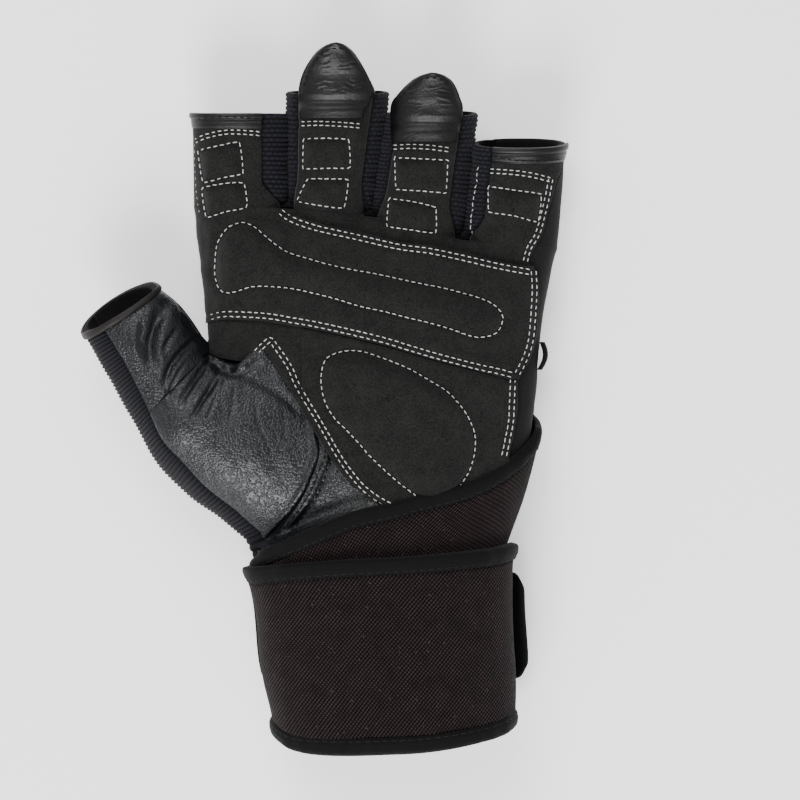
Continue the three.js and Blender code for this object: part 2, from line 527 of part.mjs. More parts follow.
// Pads and bands on the finger strips follow the strips' own ways across and along.
function onStrip(finger, { left, right, low, high }, thickness, steps) {
  const width = finger.stripRight - finger.stripLeft;
  const across = (share) => finger.stripLeft + width * share;
  const ends = [Math.acos(Math.max(-1, across(left))), Math.acos(Math.min(1, across(right)))];
  const us = between(ends[0], ends[1], steps[0]).map((angle) => Math.cos(angle));
  const vs = between(low, high, steps[1]);
  const point = (u, v, offset) => shellPoint(finger, u, 1, 1 + v, offset);
  return surface(point, us, vs, OVER_WALL, OVER_WALL + thickness);
}
for (const pad of FINGER_PADS) add(pad.name, onStrip(FINGERS[pad.finger], pad, FINGER_PAD, PAD_STEPS), SUEDE);
for (const finger of [FINGERS[0], FINGERS[3]]) {
  const band = { left: 0.01, right: 0.99, low: BAND_START[finger.name], high: 1 };
  add(`${finger.name}_band`, onStrip(finger, band, OVERLAY, BAND_STEPS), LEATHER);
}

// A pull tab lies on the end of a finger's strip and reaches on past the mouth, narrowing to a tip.
function pullTab(finger) {
  const start = BAND_START[finger.name];
  const reach = TAB_REACH[finger.name] * GLOVE_LENGTH;
  const middle = (finger.stripLeft + finger.stripRight) / 2;
  const width = (finger.stripRight - finger.stripLeft) / 2;
  const point = (u, v, offset) => {
    if (v <= 1) return shellPoint(finger, middle + width * u, 1, 1 + mix(start, 1, v), offset);
    const out = v - 1;
    const half = read(TAB_ROWS, 'out', 'half', out);
    const root = shellPoint(finger, middle + width * u * half, 1, 2, offset);
    root.y += reach * out;
    root.z += (Math.sin(degrees(finger.curl)) * reach + TAB_LIFT) * out;
    return root;
  };
  const vs = [...between(0, 1, 3), ...TAB_ROWS.slice(1).map(({ out }) => 1 + out)];
  return surface(point, between(-1, 1, TAB_STEPS), vs, OVER_WALL, OVER_WALL + TAB);
}
for (const finger of [FINGERS[1], FINGERS[2]]) add(`${finger.name}_pull_tab`, pullTab(finger), LEATHER);

// A point of the thumb: row from 0 at the mouth to the last at the wrap, t from 0 at the outline to
// 1 at the far seam, over the thumb (side 1) or under it (side -1).
const mouthRow = THUMB_ROWS[0];
const mouthChord = new THREE.Vector2(
  (mouthRow.ix - mouthRow.ox) * PALM_BREADTH, (mouthRow.iy - mouthRow.oy) * GLOVE_LENGTH).normalize();
const outOfMouth = new THREE.Vector3(-mouthChord.y, mouthChord.x, 0);
function thumbPoint(row, t, side) {
  const column = (name) => read(thumbRows, 'row', name, row);
  const [acrossPalm, alongGlove] = [(share) => share * PALM_BREADTH, (share) => share * GLOVE_LENGTH];
  const mound = clamp01(column('mound'));
  const level = column('z') * HAND_DEPTH;
  const outline = new THREE.Vector3(acrossPalm(column('ox')), alongGlove(column('oy')), level);
  const [fx, fy] = side > 0 ? ['ix', 'iy'] : ['bx', 'by'];
  const seam = new THREE.Vector3(acrossPalm(column(fx)), alongGlove(column(fy)), level);
  const inward = seam.clone().sub(outline).setZ(0).normalize();
  outline.addScaledVector(inward, WALL);
  seam.addScaledVector(inward, -WALL * (1 - mound));
  const onHand = side > 0 ? palmHeight(seam.x, seam.y) : backHeight(seam.x, seam.y);
  seam.z = mix(seam.z, onHand, mound);
  const round = (1 - Math.cos(Math.PI * t)) / 2;
  const quarter = 1 - Math.cos((Math.PI * t) / 2);
  const height = column(side > 0 ? 'rise' : 'drop') * HAND_DEPTH;
  const swell = (height - WALL * (1 - mound)) * Math.sin(Math.PI * t);
  const point = outline.lerp(seam, mix(round, quarter, mound));
  point.z += side * swell;
  const nearMouth = (1 - smooth(row / WEB_ROW)) * Math.sin(Math.PI * t);
  return point.addScaledVector(outOfMouth, nearMouth * (side > 0 ? -MOUTH_DIP : MOUTH_REACH));
}
function thumbFace(row, t, side, offset) {
  const step = 1e-3;
  const du = thumbPoint(row, t + step, side).sub(thumbPoint(row, t - step, side));
  const dv = thumbPoint(Math.min(LAST_ROW, row + step), t, side)
    .sub(thumbPoint(Math.max(0, row - step), t, side));
  const normal = du.cross(dv).normalize().multiplyScalar(-side);
  const mound = clamp01(read(thumbRows, 'row', 'mound', row));
  const upright = mound * smooth((t - UPRIGHT_FROM) / (UPRIGHT_TO - UPRIGHT_FROM));
  const way = normal.lerp(new THREE.Vector3(0, 0, side), upright).normalize();
  const point = thumbPoint(row, t, side).addScaledVector(way, offset);
  point.z = Math.max(point.z, offset > 0 ? 0 : WALL);
  return point;
}
const SEAM_INSET = GAP / HAND_DEPTH;
const thumbSheet = (side, from, to) => surface((t, row, offset) => thumbFace(row, t, side, offset),
  between(from, to, THUMB_STEPS), thumbRowPlaces, 0, WALL);
const gussetOutline = sides(GUSSET_SEAM, [[0.30, -0.26], [0.30, -0.06], [0.06, -0.02]]);
const thumbFront = toSolid(thumbSheet(1, RIB_STRIP_TOP + SEAM_INSET / 2, 1 - SEAM_INSET / 2));
add('thenar_shell', fromSolid(thumbFront.subtract(block(grow(gussetOutline, -GAP, GAP)))), LEATHER);
add('wrist_gusset', fromSolid(thumbFront.intersect(block(gussetOutline))), LEATHER);
add('thumb_back', thumbSheet(-1, RIB_STRIP_BACK + SEAM_INSET / 2, 1 - SEAM_INSET / 2), STRETCH);
// Round the thumb, t is taken as negative under it.
const roundThumb = (t, row, offset) => thumbFace(row, Math.abs(t), t < 0 ? -1 : 1, offset);
const ribPlaces = between(-RIB_STRIP_BACK + SEAM_INSET / 2, RIB_STRIP_TOP - SEAM_INSET / 2, THUMB_STEPS);
add('thumb_rib_strip', surface(roundThumb, ribPlaces, thumbRowPlaces, 0, WALL), RIB);

// The tape round the thumb's mouth is a ring laid over the ends of all three thumb pieces.
const ringPlaces = [...between(0, 1, RIM_STEPS), ...between(-1, 0, RIM_STEPS).slice(1, -1)];
const rimRow = RIM_WIDTH / (Math.abs(THUMB_ROWS[0].oy - THUMB_ROWS[1].oy) * GLOVE_LENGTH);
add('thumb_rim', surface(
  roundThumb, ringPlaces, [0, rimRow], OVER_WALL, OVER_WALL + RIM_THICKNESS, { ring: true }), TAPE);

// The wrap. A strip of it runs between two shares of its width, moved off an edge by lengths.
function wrapStrip(turns, layer, from, to, thickness, steps) {
  const edge = (turn, name) => read(WRAP_PATH, 'turn', name, turn) * GLOVE_LENGTH;
  const at = (turn, { edge: name, inward }) => edge(turn, name) + (name === 'upper' ? -inward : inward);
  const point = (turn, v, offset) => (
    wristPoint(mix(at(turn, from), at(turn, to), v), turn, layer(turn) + offset));
  return surface(point, turns, between(0, 1, steps), 0, thickness);
}
const firstLayer = () => FIRST_TURN;
const climb = (turn) => smooth((turn - SECOND_TURN_START) / (CLIMB_END - SECOND_TURN_START));
const secondLayer = (turn) => mix(FIRST_TURN, SECOND_TURN, climb(turn));
const firstTurns = between(FIRST_TURN_START, FIRST_TURN_END, FIRST_TURN_STEPS[0]);
const secondTurns = between(SECOND_TURN_START, SECOND_TURN_END, SECOND_TURN_STEPS[0]);
const inside = BINDING_WIDTH + GAP; // from a wrap's edge to its webbing
const upperEdge = (inward) => ({ edge: 'upper', inward });
const lowerEdge = (inward) => ({ edge: 'lower', inward });
const TAPE_THICKNESS = CANVAS + BINDING_PROUD;
add('wrap_first_turn', wrapStrip(
  firstTurns, firstLayer, lowerEdge(0), upperEdge(inside), CANVAS, FIRST_TURN_STEPS[1]), WEBBING);
add('wrap_first_binding',
  wrapStrip(firstTurns, firstLayer, upperEdge(BINDING_WIDTH), upperEdge(0), TAPE_THICKNESS, 1), TAPE);
add('wrap_cuff_turn', wrapStrip(
  secondTurns, secondLayer, lowerEdge(inside), upperEdge(inside), CANVAS, SECOND_TURN_STEPS[1]), WEBBING);
add('wrap_cuff_upper_binding',
  wrapStrip(secondTurns, secondLayer, upperEdge(BINDING_WIDTH), upperEdge(0), TAPE_THICKNESS, 1), TAPE);
add('wrap_cuff_lower_binding',
  wrapStrip(secondTurns, secondLayer, lowerEdge(0), lowerEdge(BINDING_WIDTH), TAPE_THICKNESS, 1), TAPE);

// The hook and loop end goes on from the cuff over the back, and its last stretch stands off.
const closurePoint = (turn, v, offset) => {
  const loose = clamp01((turn - CLOSURE_LEAVES) / (CLOSURE_END - CLOSURE_LEAVES)) ** 2 * CLOSURE_LIFT;
  const y = mix(CLOSURE_LOWER, CLOSURE_UPPER, v) * GLOVE_LENGTH;
  return wristPoint(y, turn, CLOSURE_LAYER + loose + offset);
};
const closureTurns = between(CLOSURE_START, CLOSURE_END, CLOSURE_STEPS[0]);
add('closure_tab', surface(closurePoint, closureTurns, between(0, 1, CLOSURE_STEPS[1]), 0, CLOSURE), TAPE);

// A small elastic loop stands on the little finger's side seam.
const loopMiddle = LOOP_PLACE * GLOVE_LENGTH;
const loopPoint = (turn, v, offset) => wristPoint(loopMiddle + (v - 0.5) * LOOP_LENGTH, turn,
  OVER_WALL + LOOP_STANDS_OFF * Math.sin(Math.PI * v) + offset);
const loopTurns = between(-LOOP_HALF_TURN, LOOP_HALF_TURN, LOOP_STEPS[0]);
add('side_loop', surface(loopPoint, loopTurns, between(0, 1, LOOP_STEPS[1]), 0, LOOP_THICKNESS), TAPE);

export default glove;
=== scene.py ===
"""A left weightlifting glove, dressed in suede, leather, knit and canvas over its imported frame.

Shapes are worked out in millimetres in the part's own frame and put into meshes in metres. The glove
lies on its back: +Z is up out of the palm, +Y runs to the finger mouths, -X is the thumb's side.
"""
import logging
import math
from collections.abc import Callable, Sequence
from dataclasses import dataclass, field
from enum import Enum

import bpy
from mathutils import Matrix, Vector
import numpy as np


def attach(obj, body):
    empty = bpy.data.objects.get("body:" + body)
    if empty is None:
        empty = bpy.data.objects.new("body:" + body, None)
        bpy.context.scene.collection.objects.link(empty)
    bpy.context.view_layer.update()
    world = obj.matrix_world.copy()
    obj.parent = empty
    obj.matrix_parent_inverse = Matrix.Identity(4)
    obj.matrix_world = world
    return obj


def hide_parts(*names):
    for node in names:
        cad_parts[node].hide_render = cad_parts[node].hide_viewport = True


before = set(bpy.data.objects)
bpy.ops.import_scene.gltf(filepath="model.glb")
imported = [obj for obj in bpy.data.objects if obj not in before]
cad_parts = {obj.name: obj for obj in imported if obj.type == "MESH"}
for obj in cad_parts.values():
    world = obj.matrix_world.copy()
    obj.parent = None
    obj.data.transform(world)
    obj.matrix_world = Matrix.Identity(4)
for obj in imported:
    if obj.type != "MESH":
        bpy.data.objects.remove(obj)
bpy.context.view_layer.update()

log = logging.getLogger("glove")
Array = np.ndarray
Piece = bpy.types.Object
Tree = bpy.types.NodeTree
Socket = bpy.types.NodeSocket
MM = 0.001

# The hand form in millimetres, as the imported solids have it.
BREADTH = 103.0
LENGTH = 213.0
DEPTH = 34.0
WALL = 1.6
CANVAS = 2.0
TAPE = 2.5
CLOSURE = 1.8
BINDING_WIDTH = 5.6
# How far layers lie outside the hand's inner face.
OVER_OVERLAY = 3.4
FIRST_TURN = 2.4
SECOND_TURN = 5.2
CLOSURE_LAYER = 8.0
WRAP_STACK = 9.8
# How far the thumb's mouth bows out under the thumb, and in over it.
MOUTH_REACH = 4.2
MOUTH_DIP = 1.5
# The thumb's leather is tucked this far under the wrap.
TUCK = 3.2
# Powers of the superellipses across the palm, the back and a finger.
FRONT_POWER = 2.5
BACK_POWER = 3.4
FINGER_POWER = 2.3
# Shares of the depth: a finger's height at its crotch and at its mouth, and its middle at the crotch.
TALL_AT_CROTCH = 0.72
TALL_AT_MOUTH = 0.60
CROTCH_HEIGHT = 0.42
# Shares of the length: where the palm ends inside the wrap, and where it comes out below the thumb.
PALM_END = -0.40
BELOW_THUMB = -0.213
# How often an interval is halved, and the millimetres between samples of a seam.
HALVINGS = 24
SEAM_STEP = 0.4

# The plan: 0.30 mm to a unit, counted from the top left of the square that the camera frames.
PLAN_UNIT = 0.30
PLAN_SIDE = 800
PLAN_ORIGIN = (325.0, 399.0)


def plan(points: Sequence) -> Array:
    """Turns places of the plan to millimetres.

    Args:
        points: Pairs of plan units, right and down.

    Returns:
        The same places as x and y in millimetres.
    """
    p = np.asarray(points, float)
    return np.stack([(p[..., 0] - PLAN_ORIGIN[0]) * PLAN_UNIT, (PLAN_ORIGIN[1] - p[..., 1]) * PLAN_UNIT], -1)


def mix(a: Array | float, b: Array | float, t: Array | float) -> Array | float:
    """Goes from a to b as t goes from 0 to 1."""
    return a + (b - a) * t


def smooth(t: Array | float) -> Array:
    """An even step from 0 to 1 with level ends: t squared times 3 less 2 t."""
    t = np.clip(t, 0, 1)
    return t * t * (3 - 2 * t)


def arch(across: Array, power: float) -> Array:
    """A superellipse's height over its middle, for a place across it from -1 to 1."""
    return (1 - np.minimum(1, np.abs(across)) ** power) ** (1 / power)


def flattened(height: Array) -> Array:
    """The height of the side that the glove lies on, pressed a little flat."""
    return np.minimum(1, height * 1.015)


def unit(vectors: Array) -> Array:
    """Vectors brought to the length 1."""
    return vectors / np.maximum(1e-9, np.linalg.norm(vectors, axis=-1, keepdims=True))


def travelled(points: Array) -> Array:
    """How far along a line each of its points is."""
    return np.concatenate([[0], np.cumsum(np.linalg.norm(np.diff(points, axis=0), axis=1))])


def halved(low: Array, high: Array, past: Callable[[Array], Array]) -> Array:
    """Closes in on the place where something begins to hold, by halving an interval.

    Args:
        low: Places where it doesn't hold.
        high: Places where it does.
        past: Tells at which places it holds.

    Returns:
        The nearest places where it holds.
    """
    for _ in range(HALVINGS):
        middle = (low + high) / 2
        beyond = past(middle)
        high, low = np.where(beyond, middle, high), np.where(beyond, low, middle)
    return high


def waves(x: Array, y: Array, size: float, seed: int, count: int = 7) -> Array:
    """An uneven surface: the mean of sine waves in random directions, each about size long.

    Args:
        x: Places in millimetres.
        y: Places in millimetres.
        size: The mean wave length in millimetres.
        seed: Picks the waves.
        count: How many waves are added.

    Returns:
        Heights from about -1 to 1.
    """
    rng = np.random.default_rng(seed)
    total = np.zeros(np.broadcast(x, y).shape)
    for _ in range(count):
        angle, phase = rng.uniform(0, 2 * math.pi), rng.uniform(0, 2 * math.pi)
        length = size * rng.uniform(0.6, 1.6)
        total = total + np.sin(2 * math.pi * (x * math.cos(angle) + y * math.sin(angle)) / length + phase)
    return total / math.sqrt(count) / 1.4


@dataclass(frozen=True)
class Table:
    """Rows of numbers, the first of them the key, with a smooth curve through each column."""

    columns: tuple[str, ...]
    rows: tuple[tuple[float, ...], ...]

    def read(self, column: str, at: Array | float) -> Array:
        """Reads a column on a Hermite curve whose slope at a row comes from the rows beside it.

        Args:
            column: The column's name.
            at: Places along the key.

        Returns:
            The column's values there.
        """
        data = np.array(self.rows, float)
        keys, values = data[:, 0], data[:, self.columns.index(column)]
        at = np.asarray(at, float)
        last = len(keys) - 1
        i = np.clip(np.searchsorted(keys, at, side="left") - 1, 0, last - 1)
        before, after = np.maximum(0, i - 1), np.minimum(last, i + 2)
        span = keys[i + 1] - keys[i]
        t = np.clip((at - keys[i]) / span, 0, 1)
        slope_a = (values[i + 1] - values[before]) / (keys[i + 1] - keys[before]) * span
        slope_b = (values[after] - values[i]) / (keys[after] - keys[i]) * span
        return ((2 * t**3 - 3 * t**2 + 1) * values[i] + (t**3 - 2 * t**2 + t) * slope_a
                + (3 * t**2 - 2 * t**3) * values[i + 1] + (t**3 - t**2) * slope_b)


HAND = Table(("at", "left", "right", "thick", "stack"), (
    (-0.500, -0.065, 0.484, 0.86, 1.00), (-0.376, -0.120, 0.487, 0.86, 1.00),
    (-0.282, -0.141, 0.476, 0.86, 1.00), (-0.211, -0.189, 0.486, 0.86, 0.97),
    (-0.141, -0.258, 0.538, 0.87, 0.64), (-0.047, -0.305, 0.587, 0.86, 0.46),
    (0.020, -0.317, 0.600, 0.85, 0.43), (0.075, -0.325, 0.611, 0.88, 0.00),
    (0.155, -0.336, 0.630, 0.83, 0.00), (0.225, -0.354, 0.651, 0.78, 0.00),
    (0.268, -0.371, 0.663, 0.75, 0.00)))

THUMB = Table(("row", "ox", "oy", "ix", "iy", "bx", "by", "z", "rise", "drop", "mound"), (
    (0, -0.703, 0.094, -0.487, 0.156, -0.487, 0.156, 0.76, 0.30, 0.30, 0.0),
    (1, -0.643, 0.042, -0.417, 0.129, -0.417, 0.129, 0.73, 0.36, 0.35, 0.0),
    (2, -0.569, -0.022, -0.352, 0.084, -0.352, 0.082, 0.66, 0.42, 0.38, 0.25),
    (3, -0.510, -0.075, -0.250, 0.056, -0.300, 0.040, 0.62, 0.44, 0.27, 0.8),
    (4, -0.452, -0.112, -0.165, 0.080, -0.255, 0.000, 0.60, 0.42, 0.19, 1.0),
    (5, -0.388, -0.140, -0.073, -0.010, -0.215, -0.050, 0.59, 0.34, 0.14, 1.0),
    (6, -0.310, -0.166, 0.000, -0.063, -0.180, -0.105, 0.60, 0.23, 0.10, 1.0),
    (7, -0.250, -0.190, 0.095, -0.112, -0.150, -0.155, 0.62, 0.12, 0.06, 1.0),
    (8, -0.205, -0.209, 0.190, -0.134, -0.135, -0.200, 0.64, 0.05, 0.03, 1.0)))

WRAP = Table(("turn", "upper", "lower"), (
    (-100, 0.019, -0.249), (-40, -0.009, -0.272), (0, -0.038, -0.300), (30, -0.080, -0.343),
    (54, -0.113, -0.376), (84, -0.142, -0.408), (112, -0.180, -0.441), (140, -0.205, -0.455),
    (180, -0.228, -0.465), (270, -0.235, -0.465), (360, -0.202, -0.462), (400, -0.209, -0.477),
    (450, -0.221, -0.495), (500, -0.232, -0.495), (530, -0.235, -0.479), (565, -0.235, -0.469)))


@dataclass(frozen=True)
class Finger:
    """One finger's tube. Shares are of the breadth across and of the length along."""

    name: str
    base: float
    tip: float
    half_base: float
    half_tip: float
    mouth: float
    crotch_left: float
    crotch_right: float
    strip_left: float
    strip_right: float
    curl: float
    lift: float

    def point(self, across: Array, side: Array | float, along: Array, offset: Array | float) -> Array:
        """A point of the tube: a superellipse that moves from the crotch to the mouth and tilts.

        Args:
            across: From -1 to 1 across the tube.
            side: 1 on the palm's side, -1 on the back.
            along: 0 at the crotch, 1 at the mouth.
            offset: Millimetres outwards from the inner face.

        Returns:
            Points in millimetres.
        """
        half = mix(self.half_base, self.half_tip, along) * BREADTH - WALL + offset
        tall = mix(TALL_AT_CROTCH, TALL_AT_MOUTH, along) * DEPTH / 2 - WALL + offset
        tilt = np.radians(self.curl * np.clip(along, 0, 1))
        crotch = mix(self.crotch_left, self.crotch_right, (across + 1) / 2) * LENGTH
        up = side * tall * arch(across, FINGER_POWER)
        x = mix(self.base, self.tip, along) * BREADTH + half * across
        y = mix(crotch, self.mouth * LENGTH, along) - up * np.sin(tilt)
        z = mix(CROTCH_HEIGHT, self.lift, np.asarray(along) ** 2) * DEPTH + up * np.cos(tilt)
        return np.stack(np.broadcast_arrays(x, y, z), -1)


FINGERS = (
    Finger("index", -0.251, -0.252, 0.135, 0.137, 0.404, 0.272, 0.269, -1.00, 0.49, 4, 0.49),
    Finger("middle", 0.010, 0.038, 0.114, 0.143, 0.434, 0.269, 0.258, -0.80, 0.72, 8, 0.52),
    Finger("ring", 0.265, 0.313, 0.126, 0.127, 0.404, 0.258, 0.224, -0.78, 0.66, 9, 0.54),
    Finger("little", 0.543, 0.572, 0.136, 0.130, 0.361, 0.224, 0.211, -0.62, 1.00, 12, 0.57))
INDEX, MIDDLE, RING, LITTLE = FINGERS
PALM_LEFT = (INDEX.base - INDEX.half_base) * BREADTH + WALL
PALM_RIGHT = (LITTLE.base + LITTLE.half_base) * BREADTH - WALL


def hand_section(y: Array) -> dict[str, Array]:
    """The hand's section at a place along the glove, on the inner face of its shell.

    Args:
        y: Millimetres along the glove.

    Returns:
        Its centre, half width, back, face and middle height in millimetres.
    """
    at = np.asarray(y, float) / LENGTH
    left, right = HAND.read("left", at) * BREADTH, HAND.read("right", at) * BREADTH
    back = mix(WALL, WRAP_STACK, np.clip(HAND.read("stack", at), 0, 1))
    face = back + HAND.read("thick", at) * DEPTH
    return {"centre": (left + right) / 2, "half": (right - left) / 2, "back": back, "face": face,
            "middle": (back + face) / 2}


def hand_point(y: Array, across: Array, side: float, offset: Array | float) -> Array:
    """A point of the hand's shell: a superellipse across, squarer on the back than on the palm.

    Args:
        y: Millimetres along the glove.
        across: From -1 to 1 across it.
        side: 1 for the palm, -1 for the back.
        offset: Millimetres outwards from the inner face.

    Returns:
        Points in millimetres.
    """
    s = hand_section(y)
    tall = arch(across, FRONT_POWER) if side > 0 else flattened(arch(across, BACK_POWER))
    reach = (s["face"] - s["middle"] if side > 0 else s["middle"] - s["back"]) + offset
    return np.stack(np.broadcast_arrays(s["centre"] + (s["half"] + offset) * across, y,
                                        s["middle"] + side * reach * tall), -1)


def wrist_point(y: Array, turn: Array, offset: Array | float) -> Array:
    """A point of the hand's shell by its turn round the wrist, on the same superellipse.

    Args:
        y: Millimetres along the glove.
        turn: Degrees, 0 at the little finger's side and 90 on the palm.
        offset: Millimetres outwards from the inner face.

    Returns:
        Points in millimetres.
    """
    s = hand_section(y)
    c, v = np.cos(np.radians(turn)), np.sin(np.radians(turn))
    front = v > 0
    power = np.where(front, FRONT_POWER, BACK_POWER)
    tall = np.abs(v) ** (2 / power)
    reach = np.where(front, s["face"] - s["middle"], s["middle"] - s["back"]) + offset
    x = s["centre"] + (s["half"] + offset) * np.sign(c) * np.abs(c) ** (2 / power)
    z = s["middle"] + reach * np.sign(v) * np.where(front, tall, flattened(tall))
    return np.stack(np.broadcast_arrays(x, y, z), -1)


def face_height(x: Array, y: Array, side: float) -> Array:
    """The height of the palm's or the back's inner face over a place of the plan.

    Args:
        x: Millimetres across.
        y: Millimetres along.
        side: 1 for the palm, -1 for the back.

    Returns:
        Heights in millimetres.
    """
    s = hand_section(y)
    across = (x - s["centre"]) / s["half"]
    if side > 0:
        return s["middle"] + (s["face"] - s["middle"]) * arch(across, FRONT_POWER)
    return s["middle"] - (s["middle"] - s["back"]) * flattened(arch(across, BACK_POWER))


def shell_point(finger: Finger, across: Array, side: float, along: Array, offset: Array | float) -> Array:
    """A point of the whole hand: the hand's section below the crotches goes over into the tubes.

    Args:
        finger: The finger whose column it is in.
        across: From -1 to 1 across that finger.
        side: 1 for the palm, -1 for the back.
        along: 0 at the wrist, 1 at the crotches, 2 at the mouths.
        offset: Millimetres outwards from the inner face.

    Returns:
        Points in millimetres.
    """
    across, along, offset = np.broadcast_arrays(across, along, offset)
    tube = finger.point(across, side, along - 1, offset)
    root = finger.point(across, side, np.zeros_like(along, dtype=float), offset)
    root_x = finger.base * BREADTH + (finger.half_base * BREADTH - WALL) * across
    on_hand = np.clip(2 * (root_x - PALM_LEFT) / (PALM_RIGHT - PALM_LEFT) - 1, -1, 1)
    crotch = mix(finger.crotch_left, finger.crotch_right, (across + 1) / 2) * LENGTH
    low = np.minimum(along, 1)
    hand = hand_point(mix(PALM_END * LENGTH, crotch, low), on_hand, side, offset)
    below = mix(hand, root, smooth((low - 0.82) / 0.18)[..., None])
    return np.where((along >= 1)[..., None], tube, below)


def mound_share(row: Array) -> Array:
    """How much a row of the thumb belongs to the mound, eased softly up to 1."""
    return np.clip(1 - np.logaddexp(0, 20 * (1 - THUMB.read("mound", row))) / 20, 0, 1)


def out_of_mouth() -> Array:
    """The way out of the thumb's mouth on the plan, square to the mouth's chord.

    Returns:
        A direction of the length 1.
    """
    first = dict(zip(THUMB.columns, THUMB.rows[0]))
    chord = np.array([(first["ix"] - first["ox"]) * BREADTH, (first["iy"] - first["oy"]) * LENGTH])
    return np.array([-chord[1], chord[0]]) / np.linalg.norm(chord)


def thumb_point(row: Array, t: Array, side: Array | float) -> Array:
    """A point of the thumb's middle surface, a swelling sine from its outline to the far seam.

    Args:
        row: 0 at the mouth to 8 at the wrap.
        t: 0 at the outline to 1 at the far seam.
        side: 1 over the thumb, -1 under it.

    Returns:
        Points in millimetres.
    """
    row, t, side = np.broadcast_arrays(np.asarray(row, float), np.asarray(t, float), side)
    col = {name: THUMB.read(name, row) for name in THUMB.columns[1:]}
    mound = mound_share(row)
    over = side > 0
    outline = np.stack([col["ox"] * BREADTH, col["oy"] * LENGTH], -1)
    seam_x, seam_y = np.where(over, col["ix"], col["bx"]), np.where(over, col["iy"], col["by"])
    seam = np.stack([seam_x * BREADTH, seam_y * LENGTH], -1)
    inward = unit(seam - outline)
    outline = outline + WALL * inward
    seam = seam - (WALL * (1 - mound))[..., None] * inward
    height = col["z"] * DEPTH
    on_palm, on_back = (face_height(seam[..., 0], seam[..., 1], face) for face in (1, -1))
    on_hand = np.where(over, on_palm, on_back)
    seam_z = mix(height, on_hand, mound)
    way = mix((1 - np.cos(math.pi * t)) / 2, 1 - np.cos(math.pi * t / 2), mound)
    swell = (np.where(over, col["rise"], col["drop"]) * DEPTH - WALL * (1 - mound)) * np.sin(math.pi * t)
    flat = mix(outline, seam, way[..., None])
    near_mouth = (1 - smooth(row / 2)) * np.sin(math.pi * t) * np.where(over, -MOUTH_DIP, MOUTH_REACH)
    flat = flat + near_mouth[..., None] * out_of_mouth()
    return np.concatenate([flat, (mix(height, seam_z, way) + side * swell)[..., None]], -1)


def thumb_face(row: Array, t: Array, side: Array | float, offset: Array | float) -> Array:
    """A point of the thumb moved out along its normal, which turns upright towards the palm's seam.

    Args:
        row: 0 at the mouth to 8, where it is tucked under the wrap and climbs to the palm's height.
        t: 0 at the outline to 1 at the far seam.
        side: 1 over the thumb, -1 under it.
        offset: Millimetres outwards.

    Returns:
        Points in millimetres.
    """
    row, t, side, offset = np.broadcast_arrays(np.asarray(row, float), np.asarray(t, float), side, offset)
    step = 1e-3
    du = thumb_point(row, t + step, side) - thumb_point(row, t - step, side)
    dv = thumb_point(np.minimum(8, row + step), t, side) - thumb_point(np.maximum(0, row - step), t, side)
    normal = np.cross(du, dv)
    normal *= (-side / np.maximum(1e-12, np.linalg.norm(normal, axis=-1)))[..., None]
    upright = mound_share(row) * smooth((t - 0.55) / 0.4)
    way = mix(normal, np.stack([np.zeros_like(side), np.zeros_like(side), side], -1), upright[..., None])
    point = thumb_point(row, t, side) + unit(way) * offset[..., None]
    point[..., 1] -= TUCK * smooth((row - 7.2) / 0.8)
    up_to_wrap = face_height(point[..., 0], point[..., 1], 1) + offset - 0.3
    climb = smooth((row - 7.45) / 0.5) * (side > 0) * smooth((t - 0.12) / 0.2)
    point[..., 2] = mix(point[..., 2], np.maximum(point[..., 2], up_to_wrap), climb)
    point[..., 2] = np.maximum(point[..., 2], np.where(offset > 0, 0, WALL))
    return point


# Lines of the plan.


def line(points: Array, step: float, closed: bool = False) -> Array:
    """A Catmull-Rom curve through points, resampled evenly.

    Args:
        points: Corner places.
        step: Millimetres between samples.
        closed: Whether it comes back to its start.

    Returns:
        Places along the curve.
    """
    p = np.asarray(points, float)
    if closed:
        p = np.concatenate([p[-1:], p, p[:2]])
    else:
        p = np.concatenate([2 * p[:1] - p[1:2], p, 2 * p[-1:] - p[-2:-1]])
    t = np.linspace(0, 1, 12, endpoint=False)[:, None, None]
    a, b, c, d = p[:-3], p[1:-2], p[2:-1], p[3:]
    curve = 0.5 * (2 * b + (c - a) * t + (2 * a - 5 * b + 4 * c - d) * t**2 + (3 * b - a - 3 * c + d) * t**3)
    dense = np.concatenate([curve.transpose(1, 0, 2).reshape(-1, p.shape[1]), p[-2:-1]])
    return resample(dense, step)


def resample(points: Array, step: float) -> Array:
    """Places spaced evenly along a dense line, as near to step as fits a whole number."""
    return resample_to(points, max(2, round(travelled(points)[-1] / step) + 1))


def resample_to(points: Array, count: int) -> Array:
    """Places spaced evenly along a dense line.

    Args:
        points: The line.
        count: How many places.

    Returns:
        The places.
    """
    run = travelled(points)
    at = np.linspace(0, run[-1], count)
    return np.stack([np.interp(at, run, column) for column in points.T], -1)


def beside(points: Array, distance: float) -> Array:
    """A line moved sideways, to its left for a positive distance."""
    way = unit(np.gradient(points, axis=0))
    return points + distance * np.stack([-way[:, 1], way[:, 0]], -1)


def drawn(points: Sequence, closed: bool = False) -> Array:
    """A seam's dense line in millimetres, from its corners on the plan."""
    return line(plan(points), SEAM_STEP, closed)


